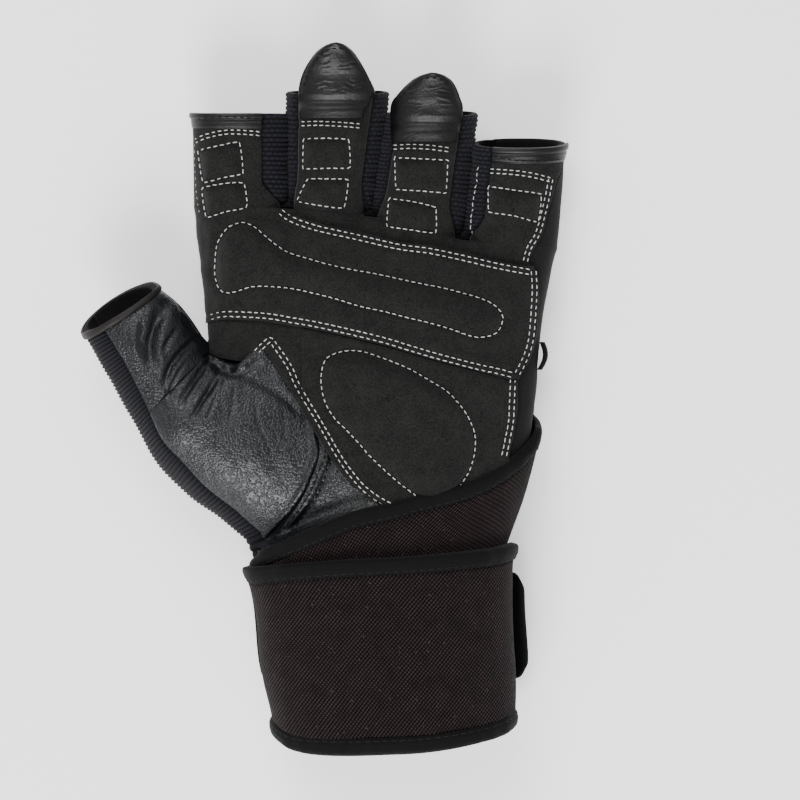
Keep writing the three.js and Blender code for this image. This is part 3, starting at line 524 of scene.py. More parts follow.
def line_distance(xy: Array, points: Array) -> tuple[Array, Array]:
    """The distance of places from a line, and how far along it each is nearest.

    Args:
        xy: Places of the plan in millimetres.
        points: The line's corners.

    Returns:
        Distances in millimetres, and shares of the line from 0 to 1.
    """
    best = np.full(xy.shape[:-1], np.inf)
    share = np.zeros(xy.shape[:-1])
    lengths = np.linalg.norm(np.diff(points, axis=0), axis=1)
    starts = np.concatenate([[0], np.cumsum(lengths)])
    for a, b, length, start in zip(points[:-1], points[1:], lengths, starts):
        t = np.clip(((xy - a) @ (b - a)) / max(1e-12, length**2), 0, 1)
        d = np.linalg.norm(xy - (a + t[..., None] * (b - a)), axis=-1)
        near = d < best
        best = np.where(near, d, best)
        share = np.where(near, (start + t * length) / starts[-1], share)
    return best, share


def inside(xy: Array, outline: Array) -> Array:
    """Whether places lie inside a closed outline, by counting the edges that a level ray crosses.

    Args:
        xy: Places of the plan in millimetres.
        outline: The outline's corners.

    Returns:
        True for the places inside it.
    """
    crossed = np.zeros(xy.shape[:-1], bool)
    x, y = xy[..., 0], xy[..., 1]
    for (ax, ay), (bx, by) in zip(outline, np.roll(outline, -1, axis=0)):
        spans = (ay > y) != (by > y)
        at = ax + (y - ay) * (bx - ax) / np.where(by == ay, 1e-12, by - ay)
        crossed ^= spans & (x < at)
    return crossed


@dataclass(frozen=True)
class Crease:
    """A fold or dent drawn on the plan: a line, how deep and how wide it is, in millimetres."""

    points: tuple[tuple[float, float], ...]
    depth: float
    width: float

    def height(self, xy: Array) -> Array:
        """A bell across the line that fades to its ends, with a low ridge on each side of a dent.

        Args:
            xy: Places of the plan in millimetres.

        Returns:
            Heights in millimetres, below 0 in a dent.
        """
        d, share = line_distance(xy, line(plan(self.points), 2.0))
        s = d / self.width
        fade = np.sin(math.pi * np.clip(share, 0.02, 0.98)) ** 0.5
        return -self.depth * (1 - 0.9 * s * s) * np.exp(-s * s) * fade


def folded(xy: Array, creases: Sequence[Crease]) -> Array:
    """The sum of the creases' heights over places of the plan."""
    return sum((crease.height(xy) for crease in creases), np.zeros(xy.shape[:-1]))


# Meshes.


def mesh_object(name: str, points: Array, faces: Array, uv: Array | None = None,
                relief: Array | None = None) -> Piece:
    """Puts points and four-cornered faces into a smooth mesh object at the origin.

    Args:
        name: The object's name.
        points: Vertices in millimetres.
        faces: Four indices a face.
        uv: A place of the cloth for each corner of each face, in millimetres.
        relief: How far each vertex stands out of its cloth's hollows, from 0 to 1; the knits' colour follows
            it as painted shade.

    Returns:
        The new object.
    """
    mesh = bpy.data.meshes.new(name)
    mesh.vertices.add(len(points))
    mesh.vertices.foreach_set("co", (points * MM).astype(np.float32).ravel())
    mesh.loops.add(faces.size)
    mesh.loops.foreach_set("vertex_index", faces.astype(np.int32).ravel())
    mesh.polygons.add(len(faces))
    mesh.polygons.foreach_set("loop_start", np.arange(0, faces.size, 4, dtype=np.int32))
    mesh.polygons.foreach_set("loop_total", np.full(len(faces), 4, np.int32))
    mesh.update(calc_edges=True)
    if uv is not None:
        layer = mesh.uv_layers.new(name="cloth")
        layer.data.foreach_set("uv", (uv / 100).astype(np.float32).ravel())
    if relief is not None:
        held = mesh.attributes.new("relief", "FLOAT", "POINT")
        held.data.foreach_set("value", relief.astype(np.float32))
    mesh.polygons.foreach_set("use_smooth", np.ones(len(mesh.polygons), bool))
    mesh.update()
    obj = bpy.data.objects.new(name, mesh)
    bpy.context.scene.collection.objects.link(obj)
    return obj


def grid_faces(rows: int, columns: int, keep: Array, ring: bool) -> tuple[Array, Array, Array]:
    """The cells of a closed sheet between an inner and an outer grid, and its rims.

    Args:
        rows: How many rows of points.
        columns: How many columns of points.
        keep: Which cells are there.
        ring: Whether the last column joins the first.

    Returns:
        Faces that index the inner grid and then the outer one, and each corner's row and column.
    """
    cells = columns if ring else columns - 1
    j, i = np.nonzero(keep)
    corner = lambda side, r, c: side * rows * columns + r * columns + c % columns
    low = [corner(0, j, i), corner(0, j, i + 1), corner(0, j + 1, i + 1), corner(0, j + 1, i)]
    high = [corner(1, j, i), corner(1, j, i + 1), corner(1, j + 1, i + 1), corner(1, j + 1, i)]
    at_row, at_column = [j, j, j + 1, j + 1], [i, i + 1, i + 1, i]
    padded = np.zeros((rows + 1, cells + 2), bool)
    padded[1:rows, 1:-1] = keep
    if ring:
        padded[:, 0], padded[:, -1] = padded[:, -2], padded[:, 1]
    parts = [(np.stack(high, 1), [0, 1, 2, 3], slice(None)),
             (np.stack(low[::-1], 1), [3, 2, 1, 0], slice(None))]
    sides = ((0, 1, (-1, 0)), (2, 3, (1, 0)), (3, 0, (0, -1)), (1, 2, (0, 1)))
    for a, b, (dj, di) in sides:
        open_side = ~padded[j + 1 + dj, i + 1 + di]
        quad = np.stack([low[a], low[b], high[b], high[a]], 1)[open_side]
        parts.append((quad, [a, b, b, a], open_side))
    faces = np.concatenate([p[0] for p in parts])
    row_of = np.concatenate([np.stack([at_row[k] for k in order], 1)[pick] for _, order, pick in parts])
    column_of = np.concatenate([np.stack([at_column[k] for k in order], 1)[pick] for _, order, pick in parts])
    return faces, row_of, column_of


def closed_sheet(name: str, outer: Array, inner: Array, keep: Array | None = None, ring: bool = False,
                 cloth: tuple[Array, Array] | None = None, relief: Array | None = None) -> Piece:
    """A sheet with a thickness, closed at its rims, with faces that point outwards.

    Args:
        name: The object's name.
        outer: Rows and columns of points of the outer face.
        inner: The same of the inner face.
        keep: Which cells are there; all of them if left out.
        ring: Whether the last column joins the first.
        cloth: Places along the rows and down the columns in millimetres, one more than the
            columns where the sheet is a ring. Worked out from the points if left out.
        relief: How far each point of the outer face stands out, from 0 to 1; the knits' colour follows it as
            painted shade.

    Returns:
        The new object.
    """
    rows, columns = outer.shape[:2]
    cells = columns if ring else columns - 1
    keep = np.ones((rows - 1, cells), bool) if keep is None else keep
    faces, row_of, column_of = grid_faces(rows, columns, keep, ring)
    if cloth is None:
        middle = outer[rows // 2]
        across = travelled(np.concatenate([middle, middle[:1]]) if ring else middle)
        run = travelled(outer[:, columns // 2])
    else:
        across, run = cloth
    uv = np.stack([across[column_of], run[row_of]], -1)
    points = np.concatenate([inner.reshape(-1, 3), outer.reshape(-1, 3)])
    used = np.unique(faces)
    fresh = np.zeros(len(points), int)
    fresh[used] = np.arange(len(used))
    points, faces = points[used], fresh[faces]
    stands = None if relief is None else np.concatenate([np.zeros(relief.size), relief.ravel()])[used]
    a, b, c, d = (points[faces[:, k]] for k in range(4))
    if np.einsum("ij,ij->i", a, np.cross(b, c) + np.cross(c, d)).sum() < 0:
        faces, uv = faces[:, ::-1], uv[:, ::-1]
    return mesh_object(name, points, np.ascontiguousarray(faces), uv, stands)


@dataclass
class Lattice:
    """A grid of points over the plan that can be looked up from above."""

    points: Array

    def locate(self, xy: Array) -> tuple[Array, Array]:
        """Finds the row and column that lie under places of the plan.

        Along each place's row the column is where x is crossed, and then the row where y is, in turns.

        Args:
            xy: Places in millimetres.

        Returns:
            Rows and columns with their fractions.
        """
        rows, columns = self.points.shape[:2]
        x, y = self.points[..., 0], self.points[..., 1]
        row, column = np.full(len(xy), rows / 2), np.full(len(xy), columns / 2)
        for _ in range(5):
            row = self._cross(y.T, column, xy[:, 1], columns)
            column = self._cross(x, row, xy[:, 0], rows)
        return row, column

    @staticmethod
    def _cross(values: Array, at: Array, target: Array, count: int) -> Array:
        """Where the line of values at a fractional place crosses a target.

        Args:
            values: Lines of values, one for each whole place.
            at: The fractional places.
            target: The value to be crossed at each of them.
            count: How many whole places there are.

        Returns:
            Fractional indices along the lines.
        """
        low = np.clip(np.floor(at).astype(int), 0, count - 2)
        lines = values[low] + (values[low + 1] - values[low]) * (at - low)[:, None]
        lines = lines if lines[:, -1].mean() > lines[:, 0].mean() else -lines
        target = target if values[low[0], -1] > values[low[0], 0] else -target
        i = np.clip((lines < target[:, None]).sum(1) - 1, 0, lines.shape[1] - 2)
        a, b = (np.take_along_axis(lines, k[:, None], 1)[:, 0] for k in (i, i + 1))
        return i + (target - a) / np.where(np.abs(b - a) < 1e-9, 1e-9, b - a)

    def over(self, xy: Array) -> tuple[Array, Array]:
        """The height over places of the plan, and whether they lie on the grid.

        Args:
            xy: Places in millimetres.

        Returns:
            Heights in millimetres, and which places are on the grid.
        """
        rows, columns = self.points.shape[:2]
        row, column = self.locate(xy)
        on = (row >= -0.02) & (row <= rows - 0.98) & (column >= -0.02) & (column <= columns - 0.98)
        j, i = np.clip(row.astype(int), 0, rows - 2), np.clip(column.astype(int), 0, columns - 2)
        v, u = np.clip(row - j, 0, 1), np.clip(column - i, 0, 1)
        z = self.points[..., 2]
        return mix(mix(z[j, i], z[j, i + 1], u), mix(z[j + 1, i], z[j + 1, i + 1], u), v), on


def top_height(xy: Array, lattices: Sequence[Lattice]) -> Array:
    """The highest of several grids over places of the plan.

    Args:
        xy: Places in millimetres.
        lattices: The grids.

    Returns:
        Heights in millimetres, with places that no grid covers taken from the first.
    """
    best, _ = lattices[0].over(xy)
    for lattice in lattices[1:]:
        z, on = lattice.over(xy)
        best = np.where(on, np.maximum(best, z), best)
    return best


# Finishes.


def linear(code: str) -> tuple[float, float, float, float]:
    """Turns an sRGB hex code to the linear colour that shaders take."""
    parts = [int(code[k:k + 2], 16) / 255 for k in (1, 3, 5)]
    return (*(c / 12.92 if c <= 0.04045 else ((c + 0.055) / 1.055) ** 2.4 for c in parts), 1.0)


def node(tree: Tree, kind: str, inputs: dict | None = None, **settings: object) -> bpy.types.Node:
    """Adds a node, sets it up and joins what it takes.

    Args:
        tree: The material's node tree.
        kind: The node's type name without ShaderNode.
        inputs: A value or another node's socket for each named or numbered input.
        settings: The node's own properties.

    Returns:
        The node.
    """
    made = tree.nodes.new("ShaderNode" + kind)
    for key, value in settings.items():
        setattr(made, key, value)
    for key, value in (inputs or {}).items():
        if isinstance(value, Socket):
            tree.links.new(value, made.inputs[key])
        else:
            made.inputs[key].default_value = value
    return made


def maths(tree: Tree, operation: str, *values: Socket | float) -> Socket:
    """The result of a maths node."""
    return node(tree, "Math", dict(enumerate(values)), operation=operation).outputs[0]


def ranged(tree: Tree, value: Socket, low: float, high: float, to_low: float = 0.0,
           to_high: float = 1.0) -> Socket:
    """A value brought from one range to another and held inside it."""
    return node(tree, "MapRange", {0: value, 1: low, 2: high, 3: to_low, 4: to_high}).outputs[0]


def noise(tree: Tree, place: Socket, scale: float, detail: float, roughness: float) -> Socket:
    """Noise over places, from 0 to 1."""
    inputs = {"Vector": place, "Scale": scale, "Detail": detail, "Roughness": roughness}
    return node(tree, "TexNoise", inputs).outputs[0]


def cells(tree: Tree, place: Socket, scale: float, **inputs: float) -> Socket:
    """The distance from the middles of rounded cells over places."""
    inputs = {"Vector": place, "Scale": scale, **inputs}
    return node(tree, "TexVoronoi", inputs, feature="SMOOTH_F1").outputs[0]


class Pattern(Enum):
    """How a finish's surface was made."""

    NAP = "brushed suede"
    GRAIN = "smooth leather"
    PEBBLE = "shrunken grain leather"
    KNIT = "coarse knit"
    RIB = "rib knit"
    JERSEY = "stretch jersey"
    CANVAS = "ribbed cotton webbing"
    FOLDED = "folded nylon tape"
    THREAD = "twisted thread"


@dataclass(frozen=True)
class Finish:
    """One real finish: its colours, its gloss and the pattern that it is made with."""

    name: str
    pattern: Pattern
    dark: str
    light: str
    roughness: float
    relief: float
    scale: float
    sheen: float = 0.0
    specular: float = 0.5

    def material(self) -> bpy.types.Material:
        """Builds the finish's material, or finds it if it is there already.

        Returns:
            The material.
        """
        known = bpy.data.materials.get(self.name)
        if known:
            return known
        made = bpy.data.materials.new(self.name)
        made.use_nodes = True
        tree = made.node_tree
        tree.nodes.clear()
        height, shade = self._pattern(tree)
        ramp = node(tree, "Mix", {0: shade, 6: linear(self.dark), 7: linear(self.light)}, data_type="RGBA")
        bump = node(tree, "Bump", {"Strength": 1.0, "Distance": self.relief * MM, "Height": height})
        shader = node(tree, "BsdfPrincipled", {
            "Base Color": ramp.outputs[2], "Roughness": self.roughness, "Specular IOR Level": self.specular,
            "Sheen Weight": self.sheen, "Sheen Roughness": 0.5, "Sheen Tint": (1, 1, 1, 1),
            "Normal": bump.outputs[0]})
        node(tree, "OutputMaterial", {"Surface": shader.outputs[0]})
        return made

    def _pattern(self, tree: Tree) -> tuple[Socket, Socket]:
        """The pattern's height and shade, from millimetres of the object or of the cloth. For the knits, the
        pebbles and the weaves the shade follows the height, as painted shade in the hollows.

        Args:
            tree: The material's node tree.

        Returns:
            The height socket and the shade socket.
        """
        place = node(tree, "TexCoord")
        in_metres = {"Vector": place.outputs["Object"], "Scale": (1000, 1000, 1000)}
        solid = node(tree, "Mapping", in_metres).outputs[0]
        blotch = noise(tree, solid, 0.22, 4.0, 0.6)
        fine = noise(tree, solid, self.scale, 3.0, 0.65)
        # The knits' colour is darker in the hollows and lighter on the tops that the relief attribute marks:
        # painted shade and painted light.
        if self.pattern in (Pattern.KNIT, Pattern.RIB):
            stands = node(tree, "Attribute", attribute_name="relief").outputs["Fac"]
            return fine, ranged(tree, maths(tree, "MULTIPLY", stands, fine), 0.12, 0.55)
        if self.pattern in (Pattern.NAP, Pattern.JERSEY, Pattern.THREAD):
            return fine, ranged(tree, maths(tree, "MULTIPLY_ADD", blotch, 0.35, fine), 0.50, 0.84)
        if self.pattern == Pattern.PEBBLE:
            return self._pebble(tree, solid, blotch, fine)
        if self.pattern == Pattern.GRAIN:
            height = maths(tree, "ADD", cells(tree, solid, self.scale * 0.8), fine)
            return height, ranged(tree, blotch, 0.3, 0.7)
        return self._woven(tree, place.outputs["UV"], solid, blotch)

    def _pebble(self, tree: Tree, solid: Socket, blotch: Socket, fine: Socket) -> tuple[Socket, Socket]:
        """Grain pebbles: rounded cells whose edges sink, warped by fine noise; the colour is darker at the
        sunk edges, painted shade.

        Args:
            tree: The material's node tree.
            solid: The object's millimetres.
            blotch: Slow noise.
            fine: Fine noise.

        Returns:
            The height socket and the shade socket.
        """
        shift = {0: fine, 1: (0.5, 0.5, 0.5), 2: solid}
        warped = node(tree, "VectorMath", shift, operation="MULTIPLY_ADD").outputs[0]
        round_top = ranged(tree, cells(tree, warped, self.scale, Smoothness=0.3), 0.7, 0.0)
        # The colour follows the height: painted shade at the pebbles' sunk edges and lighter painted tops.
        return round_top, maths(tree, "MULTIPLY", blotch, round_top)

    def _woven(self, tree: Tree, cloth: Socket, solid: Socket, blotch: Socket) -> tuple[Socket, Socket]:
        """A weave on the cloth's own places: two slanting trains of waves, which leave staggered knots,
        lighter in colour than the painted shade between them.

        Args:
            tree: The material's node tree.
            cloth: The cloth's places, 1 for each 100 mm.
            solid: The object's millimetres.
            blotch: Slow noise.

        Returns:
            The height socket and the shade socket.
        """
        ways = []
        for hand in (1, -1):
            places = node(tree, "Mapping", {"Vector": cloth, "Scale": (100, 105 * hand, 100)}).outputs[0]
            wave = node(tree, "TexWave", {"Vector": places, "Scale": 0.50 * self.scale, "Distortion": 0.7,
                                          "Detail": 1.0, "Detail Scale": 1.5}, bands_direction="DIAGONAL")
            ways.append(ranged(tree, wave.outputs[1], 0.0, 1.0, 0.15 * (1 - hand)))
        height = maths(tree, "MULTIPLY", *ways)
        slow = ranged(tree, blotch, 0.3, 0.7, 0.6, 1.2)
        # Colour from the height: painted shade between the knots, mottled by slow noise.
        tone = maths(tree, "MULTIPLY", ranged(tree, height, 0.1, 0.9), slow)
        if self.pattern != Pattern.CANVAS:
            return height, tone
        lint = node(tree, "TexVoronoi", {"Vector": solid, "Scale": 0.40, "Randomness": 1.0}).outputs[0]
        return height, maths(tree, "ADD", tone, ranged(tree, lint, 0.12, 0.05, 0.0, 1.6))


# Suede split leather, brushed to a short nap: dead matt, mottled, with a faint light bloom.
SUEDE = Finish("charcoal brushed suede", Pattern.NAP, "#0f0f0f", "#222221", 0.96, 0.12, 1.9,
               sheen=0.05, specular=0.10)
# Thin smooth goatskin, dyed through: black with a soft broad highlight.
LEATHER = Finish("smooth black goatskin", Pattern.GRAIN, "#040405", "#0b0b0d", 0.42, 0.05, 1.8, specular=0.28)
# Goatskin with a shrunken grain: small pebbles that each catch the light, with painted shade at their sunk
# edges.
PEBBLED = Finish("pebbled charcoal goatskin", Pattern.PEBBLE, "#07090c", "#151a21", 0.36, 0.15, 1.50,
                 specular=0.43)
# Coarse elastic knit between the fingers, nearly navy black and matt, with painted shade in its hollows and
# painted light on its bumps.
FINGER_KNIT = Finish("coarse black elastic knit", Pattern.KNIT, "#020203", "#20202a", 0.9, 0.10, 2.4,
                     sheen=0.04, specular=0.15)
# Ribbed elastic knit along the thumb, with painted shade between the ribs.
RIB_KNIT = Finish("charcoal rib knit", Pattern.RIB, "#030304", "#18181f", 0.9, 0.10, 2.2,
                  sheen=0.04, specular=0.15)
# Plain stretch jersey on the back and the side.
JERSEY = Finish("black stretch jersey", Pattern.JERSEY, "#090909", "#141415", 0.9, 0.06, 2.2,
                sheen=0.03, specular=0.15)
# Cotton webbing, dyed brown-black, with a little lint on it and painted shade between the knots of its weave.
WEBBING = Finish("brown-black cotton webbing", Pattern.CANVAS, "#050303", "#362a2c", 0.94, 0.30, 1.0,
                 sheen=0.03, specular=0.08)
# Folded nylon tape. Its weave is too fine to show at this size and is drawn about twice as coarse, with
# painted shade between its knots.
BINDING = Finish("black folded nylon tape", Pattern.FOLDED, "#080808", "#121213", 0.88, 0.07, 1.4,
                 sheen=0.03, specular=0.10)
# A narrow strip of thin brown-black leather that binds the thumb's mouth.
RIM_LEATHER = Finish("brown-black leather binding", Pattern.GRAIN, "#090605", "#171110", 0.55, 0.06, 1.8,
                     specular=0.30)
# Spun polyester thread: natural grey-white, black, and charcoal where it shows as a line on the tapes.
WHITE_THREAD = Finish("grey-white sewing thread", Pattern.THREAD, "#9a9a97", "#cfcfcb", 0.75, 0.05, 5.0,
                      specular=0.3)
BLACK_THREAD = Finish("black sewing thread", Pattern.THREAD, "#030304", "#0a0a0c", 0.7, 0.05, 5.0,
                      specular=0.2)
DARK_THREAD = Finish("charcoal sewing thread", Pattern.THREAD, "#0b0b0c", "#19191b", 0.7, 0.05, 5.0,
                     specular=0.2)


def dress(obj: Piece, finish: Finish, slot: str, *nodes: str) -> Piece:
    """Gives a piece its finish and its place in the frame, and reports it.

    Args:
        obj: The piece.
        finish: What it is made of.
        slot: The record's material slot; not used.
        nodes: The solids that it stands for.

    Returns:
        The same piece.
    """
    obj.data.materials.append(finish.material())
    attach(obj, "root")
    if nodes:
        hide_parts(*nodes)
    obj.data.calc_loop_triangles()
    log.info("%s: %d triangles of %s", obj.name, len(obj.data.loop_triangles), finish.name)
    return obj


# Stitching.


def thread_body(length: float, radius: float) -> tuple[Array, Array]:
    """One stitch lying along x: a tube of six sides that thins and sinks to its ends.

    Args:
        length: Millimetres from end to end.
        radius: Millimetres.

    Returns:
        Its points and its four-cornered faces.
    """
    along = np.array([-1, -0.86, -0.45, 0, 0.45, 0.86, 1]) * length / 2
    girth = np.array([0.3, 0.8, 1, 1, 1, 0.8, 0.3]) * radius
    sink = np.array([-0.9, -0.35, 0, 0.1, 0, -0.35, -0.9]) * radius
    angle = np.arange(6) * math.pi / 3
    points = np.stack(np.broadcast_arrays(
        along[:, None], girth[:, None] * np.cos(angle), sink[:, None] + girth[:, None] * np.sin(angle)), -1)
    k, i = np.meshgrid(np.arange(6), np.arange(6), indexing="ij")
    here, after = k * 6, (i + 1) % 6
    faces = np.stack([here + i, here + after, here + 6 + after, here + 6 + i], -1).reshape(-1, 4)
    caps = np.array([[3, 2, 1, 0], [5, 4, 3, 0], [36, 37, 38, 39], [36, 39, 40, 41]])
    return points.reshape(-1, 3), np.concatenate([faces[:, ::-1], caps])


@dataclass(frozen=True)
class Stitching:
    """A kind of seam: how long a stitch is, how far apart, and how thick the thread is."""

    pitch: float = 1.95
    length: float = 1.28
    radius: float = 0.165
    finish: Finish = WHITE_THREAD
    seed: int = 3

    def _places(self, run: Array) -> tuple[Array, Array, Array]:
        """Reads a line at each stitch.

        Args:
            run: Dense places of the line, with whatever else each one carries after them.

        Returns:
            The line at the stitches' middles, half a millimetre after them and half before.
        """
        length = travelled(run[:, :3])
        count = max(1, int(length[-1] / self.pitch))
        at = (np.arange(count) + 0.5) * length[-1] / count
        middle, front, back = (np.stack([np.interp(s, length, column) for column in run.T], -1)
                               for s in (at, at + 0.5, at - 0.5))
        return middle, front, back

    def along(self, path: Array, height: Callable[[Array], Array]) -> tuple[Array, Array]:
        """Stitches along a line of the plan, each turned to the line and to the slope under it.

        Args:
            path: Dense places of the plan in millimetres.
            height: The surface's height over places of the plan.

        Returns:
            Points and faces of all the stitches.
        """
        middle, front, back = self._places(path)
        solid = lambda xy: np.concatenate([xy, height(xy)[:, None]], 1)
        tangent = unit(solid(front) - solid(back))
        side = unit(np.stack([-tangent[:, 1], tangent[:, 0], np.zeros(len(middle))], 1))
        slope = (height(middle + side[:, :2] * 0.4) - height(middle - side[:, :2] * 0.4)) / 0.8
        side[:, 2] = np.clip(slope, -1.5, 1.5)
        return self.set_down(solid(middle), tangent, np.cross(tangent, unit(side)))

    def in_space(self, run: Array) -> tuple[Array, Array]:
        """Stitches along a line in space whose outward direction is known.

        Args:
            run: Points and outward directions, six numbers a place.

        Returns:
            Points and faces of all the stitches.
        """
        middle, front, back = self._places(run)
        tangent = unit(front[:, :3] - back[:, :3])
        normal = middle[:, 3:] - tangent * np.einsum("ij,ij->i", tangent, middle[:, 3:])[:, None]
        return self.set_down(middle[:, :3], tangent, unit(normal))

    def set_down(self, middle: Array, tangent: Array, normal: Array) -> tuple[Array, Array]:
        """Puts one stitch at each place, a little uneven in length, turn and height.

        Args:
            middle: Places in millimetres.
            tangent: Directions along the seam.
            normal: Directions out of the surface.

        Returns:
            Points and faces of all the stitches.
        """
        body, faces = thread_body(self.length, self.radius)
        count = len(middle)
        rng = np.random.default_rng(self.seed + count)
        skew = rng.normal(0, 0.05, (count, 1))
        side = np.cross(normal, tangent)
        tangent = tangent + side * skew
        side = side - tangent * skew
        size = rng.uniform(0.86, 1.1, (count, 1, 1))
        points = (middle[:, None] + normal[:, None] * (self.radius * rng.uniform(0.35, 0.6, (count, 1, 1)))
                  + body[None, :, :1] * size * tangent[:, None]
                  + body[None, :, 1:2] * side[:, None] + body[None, :, 2:] * normal[:, None])
        index = faces[None] + (np.arange(count) * len(body))[:, None, None]
        return points.reshape(-1, 3), index.reshape(-1, 4)


def joined(name: str, parts: Sequence[tuple[Array, Array]], finish: Finish, slot: str) -> Piece:
    """Joins several sets of points and faces into one dressed piece.

    Args:
        name: The piece's name.
        parts: Points and faces.
        finish: What it is made of.
        slot: The record's material slot.

    Returns:
        The piece.
    """
    starts = np.concatenate([[0], np.cumsum([len(p) for p, _ in parts])])
    points = np.concatenate([p for p, _ in parts])
    faces = np.concatenate([f + start for (_, f), start in zip(parts, starts)])
    return dress(mesh_object(name, points, faces), finish, slot)


def sewn(name: str, kind: Stitching, paths: Sequence[Array], height: Callable[[Array], Array],
         slot: str) -> Piece:
    """All stitches of one name, sewn along lines of the plan at a surface's height."""
    return joined(name, [kind.along(path, height) for path in paths], kind.finish, slot)


def sewn_on(name: str, kind: Stitching, runs: Sequence[Array], slot: str) -> Piece:
    """All stitches of one name, sewn along lines in space that carry their outward directions."""
    return joined(name, [kind.in_space(run) for run in runs], kind.finish, slot)


# The palm's seams, on the plan.
UPPER_SEAM = ((281, 209), (292, 217), (315, 225.5), (338, 231), (361, 236), (400, 245), (430, 249),
              (464, 256),
              (498, 264), (531, 270))
LOWER_SEAM = ((208, 315), (222, 312), (237, 312), (269, 314), (292, 318), (315, 322), (347, 329),
              (384, 338), (407, 345),
              (430, 352), (452, 358), (475, 364), (498, 369), (513, 373))
SIDE_COLUMN = ((531, 270), (532, 290), (531, 309), (529.5, 329), (527, 345), (521, 361), (514, 374))
SIDE_COLUMN_LOW = ((510, 378), (509, 400), (508, 421), (505, 437), (501, 456))
WEB_STITCH = ((250, 357), (261, 345), (271, 338), (280, 348), (292, 366), (299, 382), (308, 398), (319, 416),
              (329, 433), (338, 449), (349, 466), (363, 483), (377, 494.5), (392, 503))
UPPER_PAD_LINE = (
    (240, 223), (228, 228), (218, 242), (215, 260), (215, 276), (219.5, 289), (228, 293), (239, 291),
    (253, 287),
    (271, 287), (292, 289), (315, 294), (338, 300), (361, 307), (384, 312), (407, 318), (430, 323.5),
    (452, 330),
    (469, 336), (482, 337.5), (496, 333), (502, 322), (501, 313), (492, 304), (478, 298), (459, 292.5),
    (441, 288),
    (420, 284), (397, 279), (374, 274), (351, 270), (329, 265), (308, 259), (287, 252), (271, 241),
    (257, 229),
    (248, 224))
HEEL_PAD_LINE = (
    (412, 492), (400, 483), (384, 469), (370, 455.5), (361, 445), (347, 430), (335, 418), (326, 403),
    (322, 387),
    (322, 373), (326, 360), (335, 354), (349, 351), (363, 352), (379, 357), (395, 363), (411, 370),
    (430, 381),
    (446, 391), (457, 402), (466, 414), (473, 429), (475, 442), (473, 458), (467, 474), (455, 490),
    (440, 499),
    (424, 500))
WEB_EDGE = ((190, 352), (212, 353), (226, 358), (240, 360.5), (249, 361), (257, 354), (264.7, 346.5),
            (268, 345),
            (273.7, 353.7), (284.9, 370.7), (291.2, 385.4), (300.6, 402.2), (311.7, 420.5), (321.7, 437.3),
            (330.6, 453.2), (341.9, 470.6), (356.4, 488.4), (371.6, 501.1), (387.8, 510.4), (400, 560),
            (420, 683))
SIDE_EDGE = ((580, 150), (570, 163), (558, 177), (551, 204), (543, 233), (534, 250), (530, 263), (535, 275),
             (536.5, 290), (536, 309), (534, 330), (531, 346), (525, 362), (517, 375), (514, 384), (514, 400),
             (512.5, 421), (510, 438), (505, 460), (500, 500), (495, 560), (490, 690))


def curve_at(points: Sequence, column: int) -> Callable[[Array], Array]:
    """Reads a line of the plan as a function: y over x for column 0, or x over y for column 1.

    Args:
        points: Plan units.
        column: Which coordinate is given.

    Returns:
        The function, in millimetres.
    """
    dense = line(plan(points), 0.25)
    order = np.argsort(dense[:, column], kind="stable")
    return lambda at: np.interp(at, dense[order, column], dense[order, 1 - column])


def strip_edge(finger: Finger, right: bool, along: Array) -> Array:
    """Where a finger's suede ends at a side: it spreads into the crotch and is narrower above it.

    Args:
        finger: The finger.
        right: Whether it is the side of the little finger.
        along: Places along, 1 at the crotches.

    Returns:
        Places across the finger.
    """
    edge = finger.strip_right if right else finger.strip_left
    if abs(edge) >= 1:
        return np.full(len(along), edge)
    away = np.where(along > 1, (along - 1) / 0.30, (1 - along) / 0.04)
    return mix(math.copysign(0.9, edge), edge, smooth(away))


def suede_level(xy: Array) -> Array:
    """The suede's outer offset over the plan: a lift over the thumb's leather, and soft unevenness.

    Args:
        xy: Places of the plan in millimetres.

    Returns:
        Millimetres outwards from the shell's inner face.
    """
    x, y = xy[..., 0], xy[..., 1]
    lift = 1.9 * smooth(1 - line_distance(xy, line(plan(WEB_EDGE[1:19]), 3.0))[0] / 5.0)
    calm = 1 - 0.8 * smooth((y - 62) / 10)
    return WALL + lift + calm * (0.18 * waves(x, y, 17, 11) + 0.09 * waves(x, y, 6, 12))


Blocks = Sequence[tuple[Finger, Array]]


def crossings(blocks: Blocks, row: int, side: float, edge: Callable[[Array], Array], top: float,
              open_from: float = math.inf) -> Array:
    """Where each column crosses a line given as y over x.

    Args:
        blocks: Fingers and their places across, rows by columns.
        row: Which row's places are taken.
        side: 1 on the palm, -1 on the back.
        edge: The line, in millimetres.
        top: The last place along that counts.
        open_from: Columns right of this, in millimetres, start at the wrist instead.

    Returns:
        One row of places along.
    """
    found = []
    for finger, across in blocks:
        c = across[row]

        def above(along: Array) -> Array:
            """Whether places along the columns lie above the line."""
            p = shell_point(finger, c, side, along, WALL)
            return p[:, 1] > edge(p[:, 0])

        at = halved(np.zeros(len(c)), np.full(len(c), top), above)
        x = shell_point(finger, c, side, at, WALL)[:, 0]
        found.append(np.where(x > open_from, 0.0, at))
    return np.concatenate(found)[None, :]


def begun_at(start: Array, along: Array) -> Array:
    """Places along, squeezed below the crotches so that each column begins at its own start."""
    rows = along[:, None]
    return np.where(rows >= 1, rows, start + (1 - start) * rows)


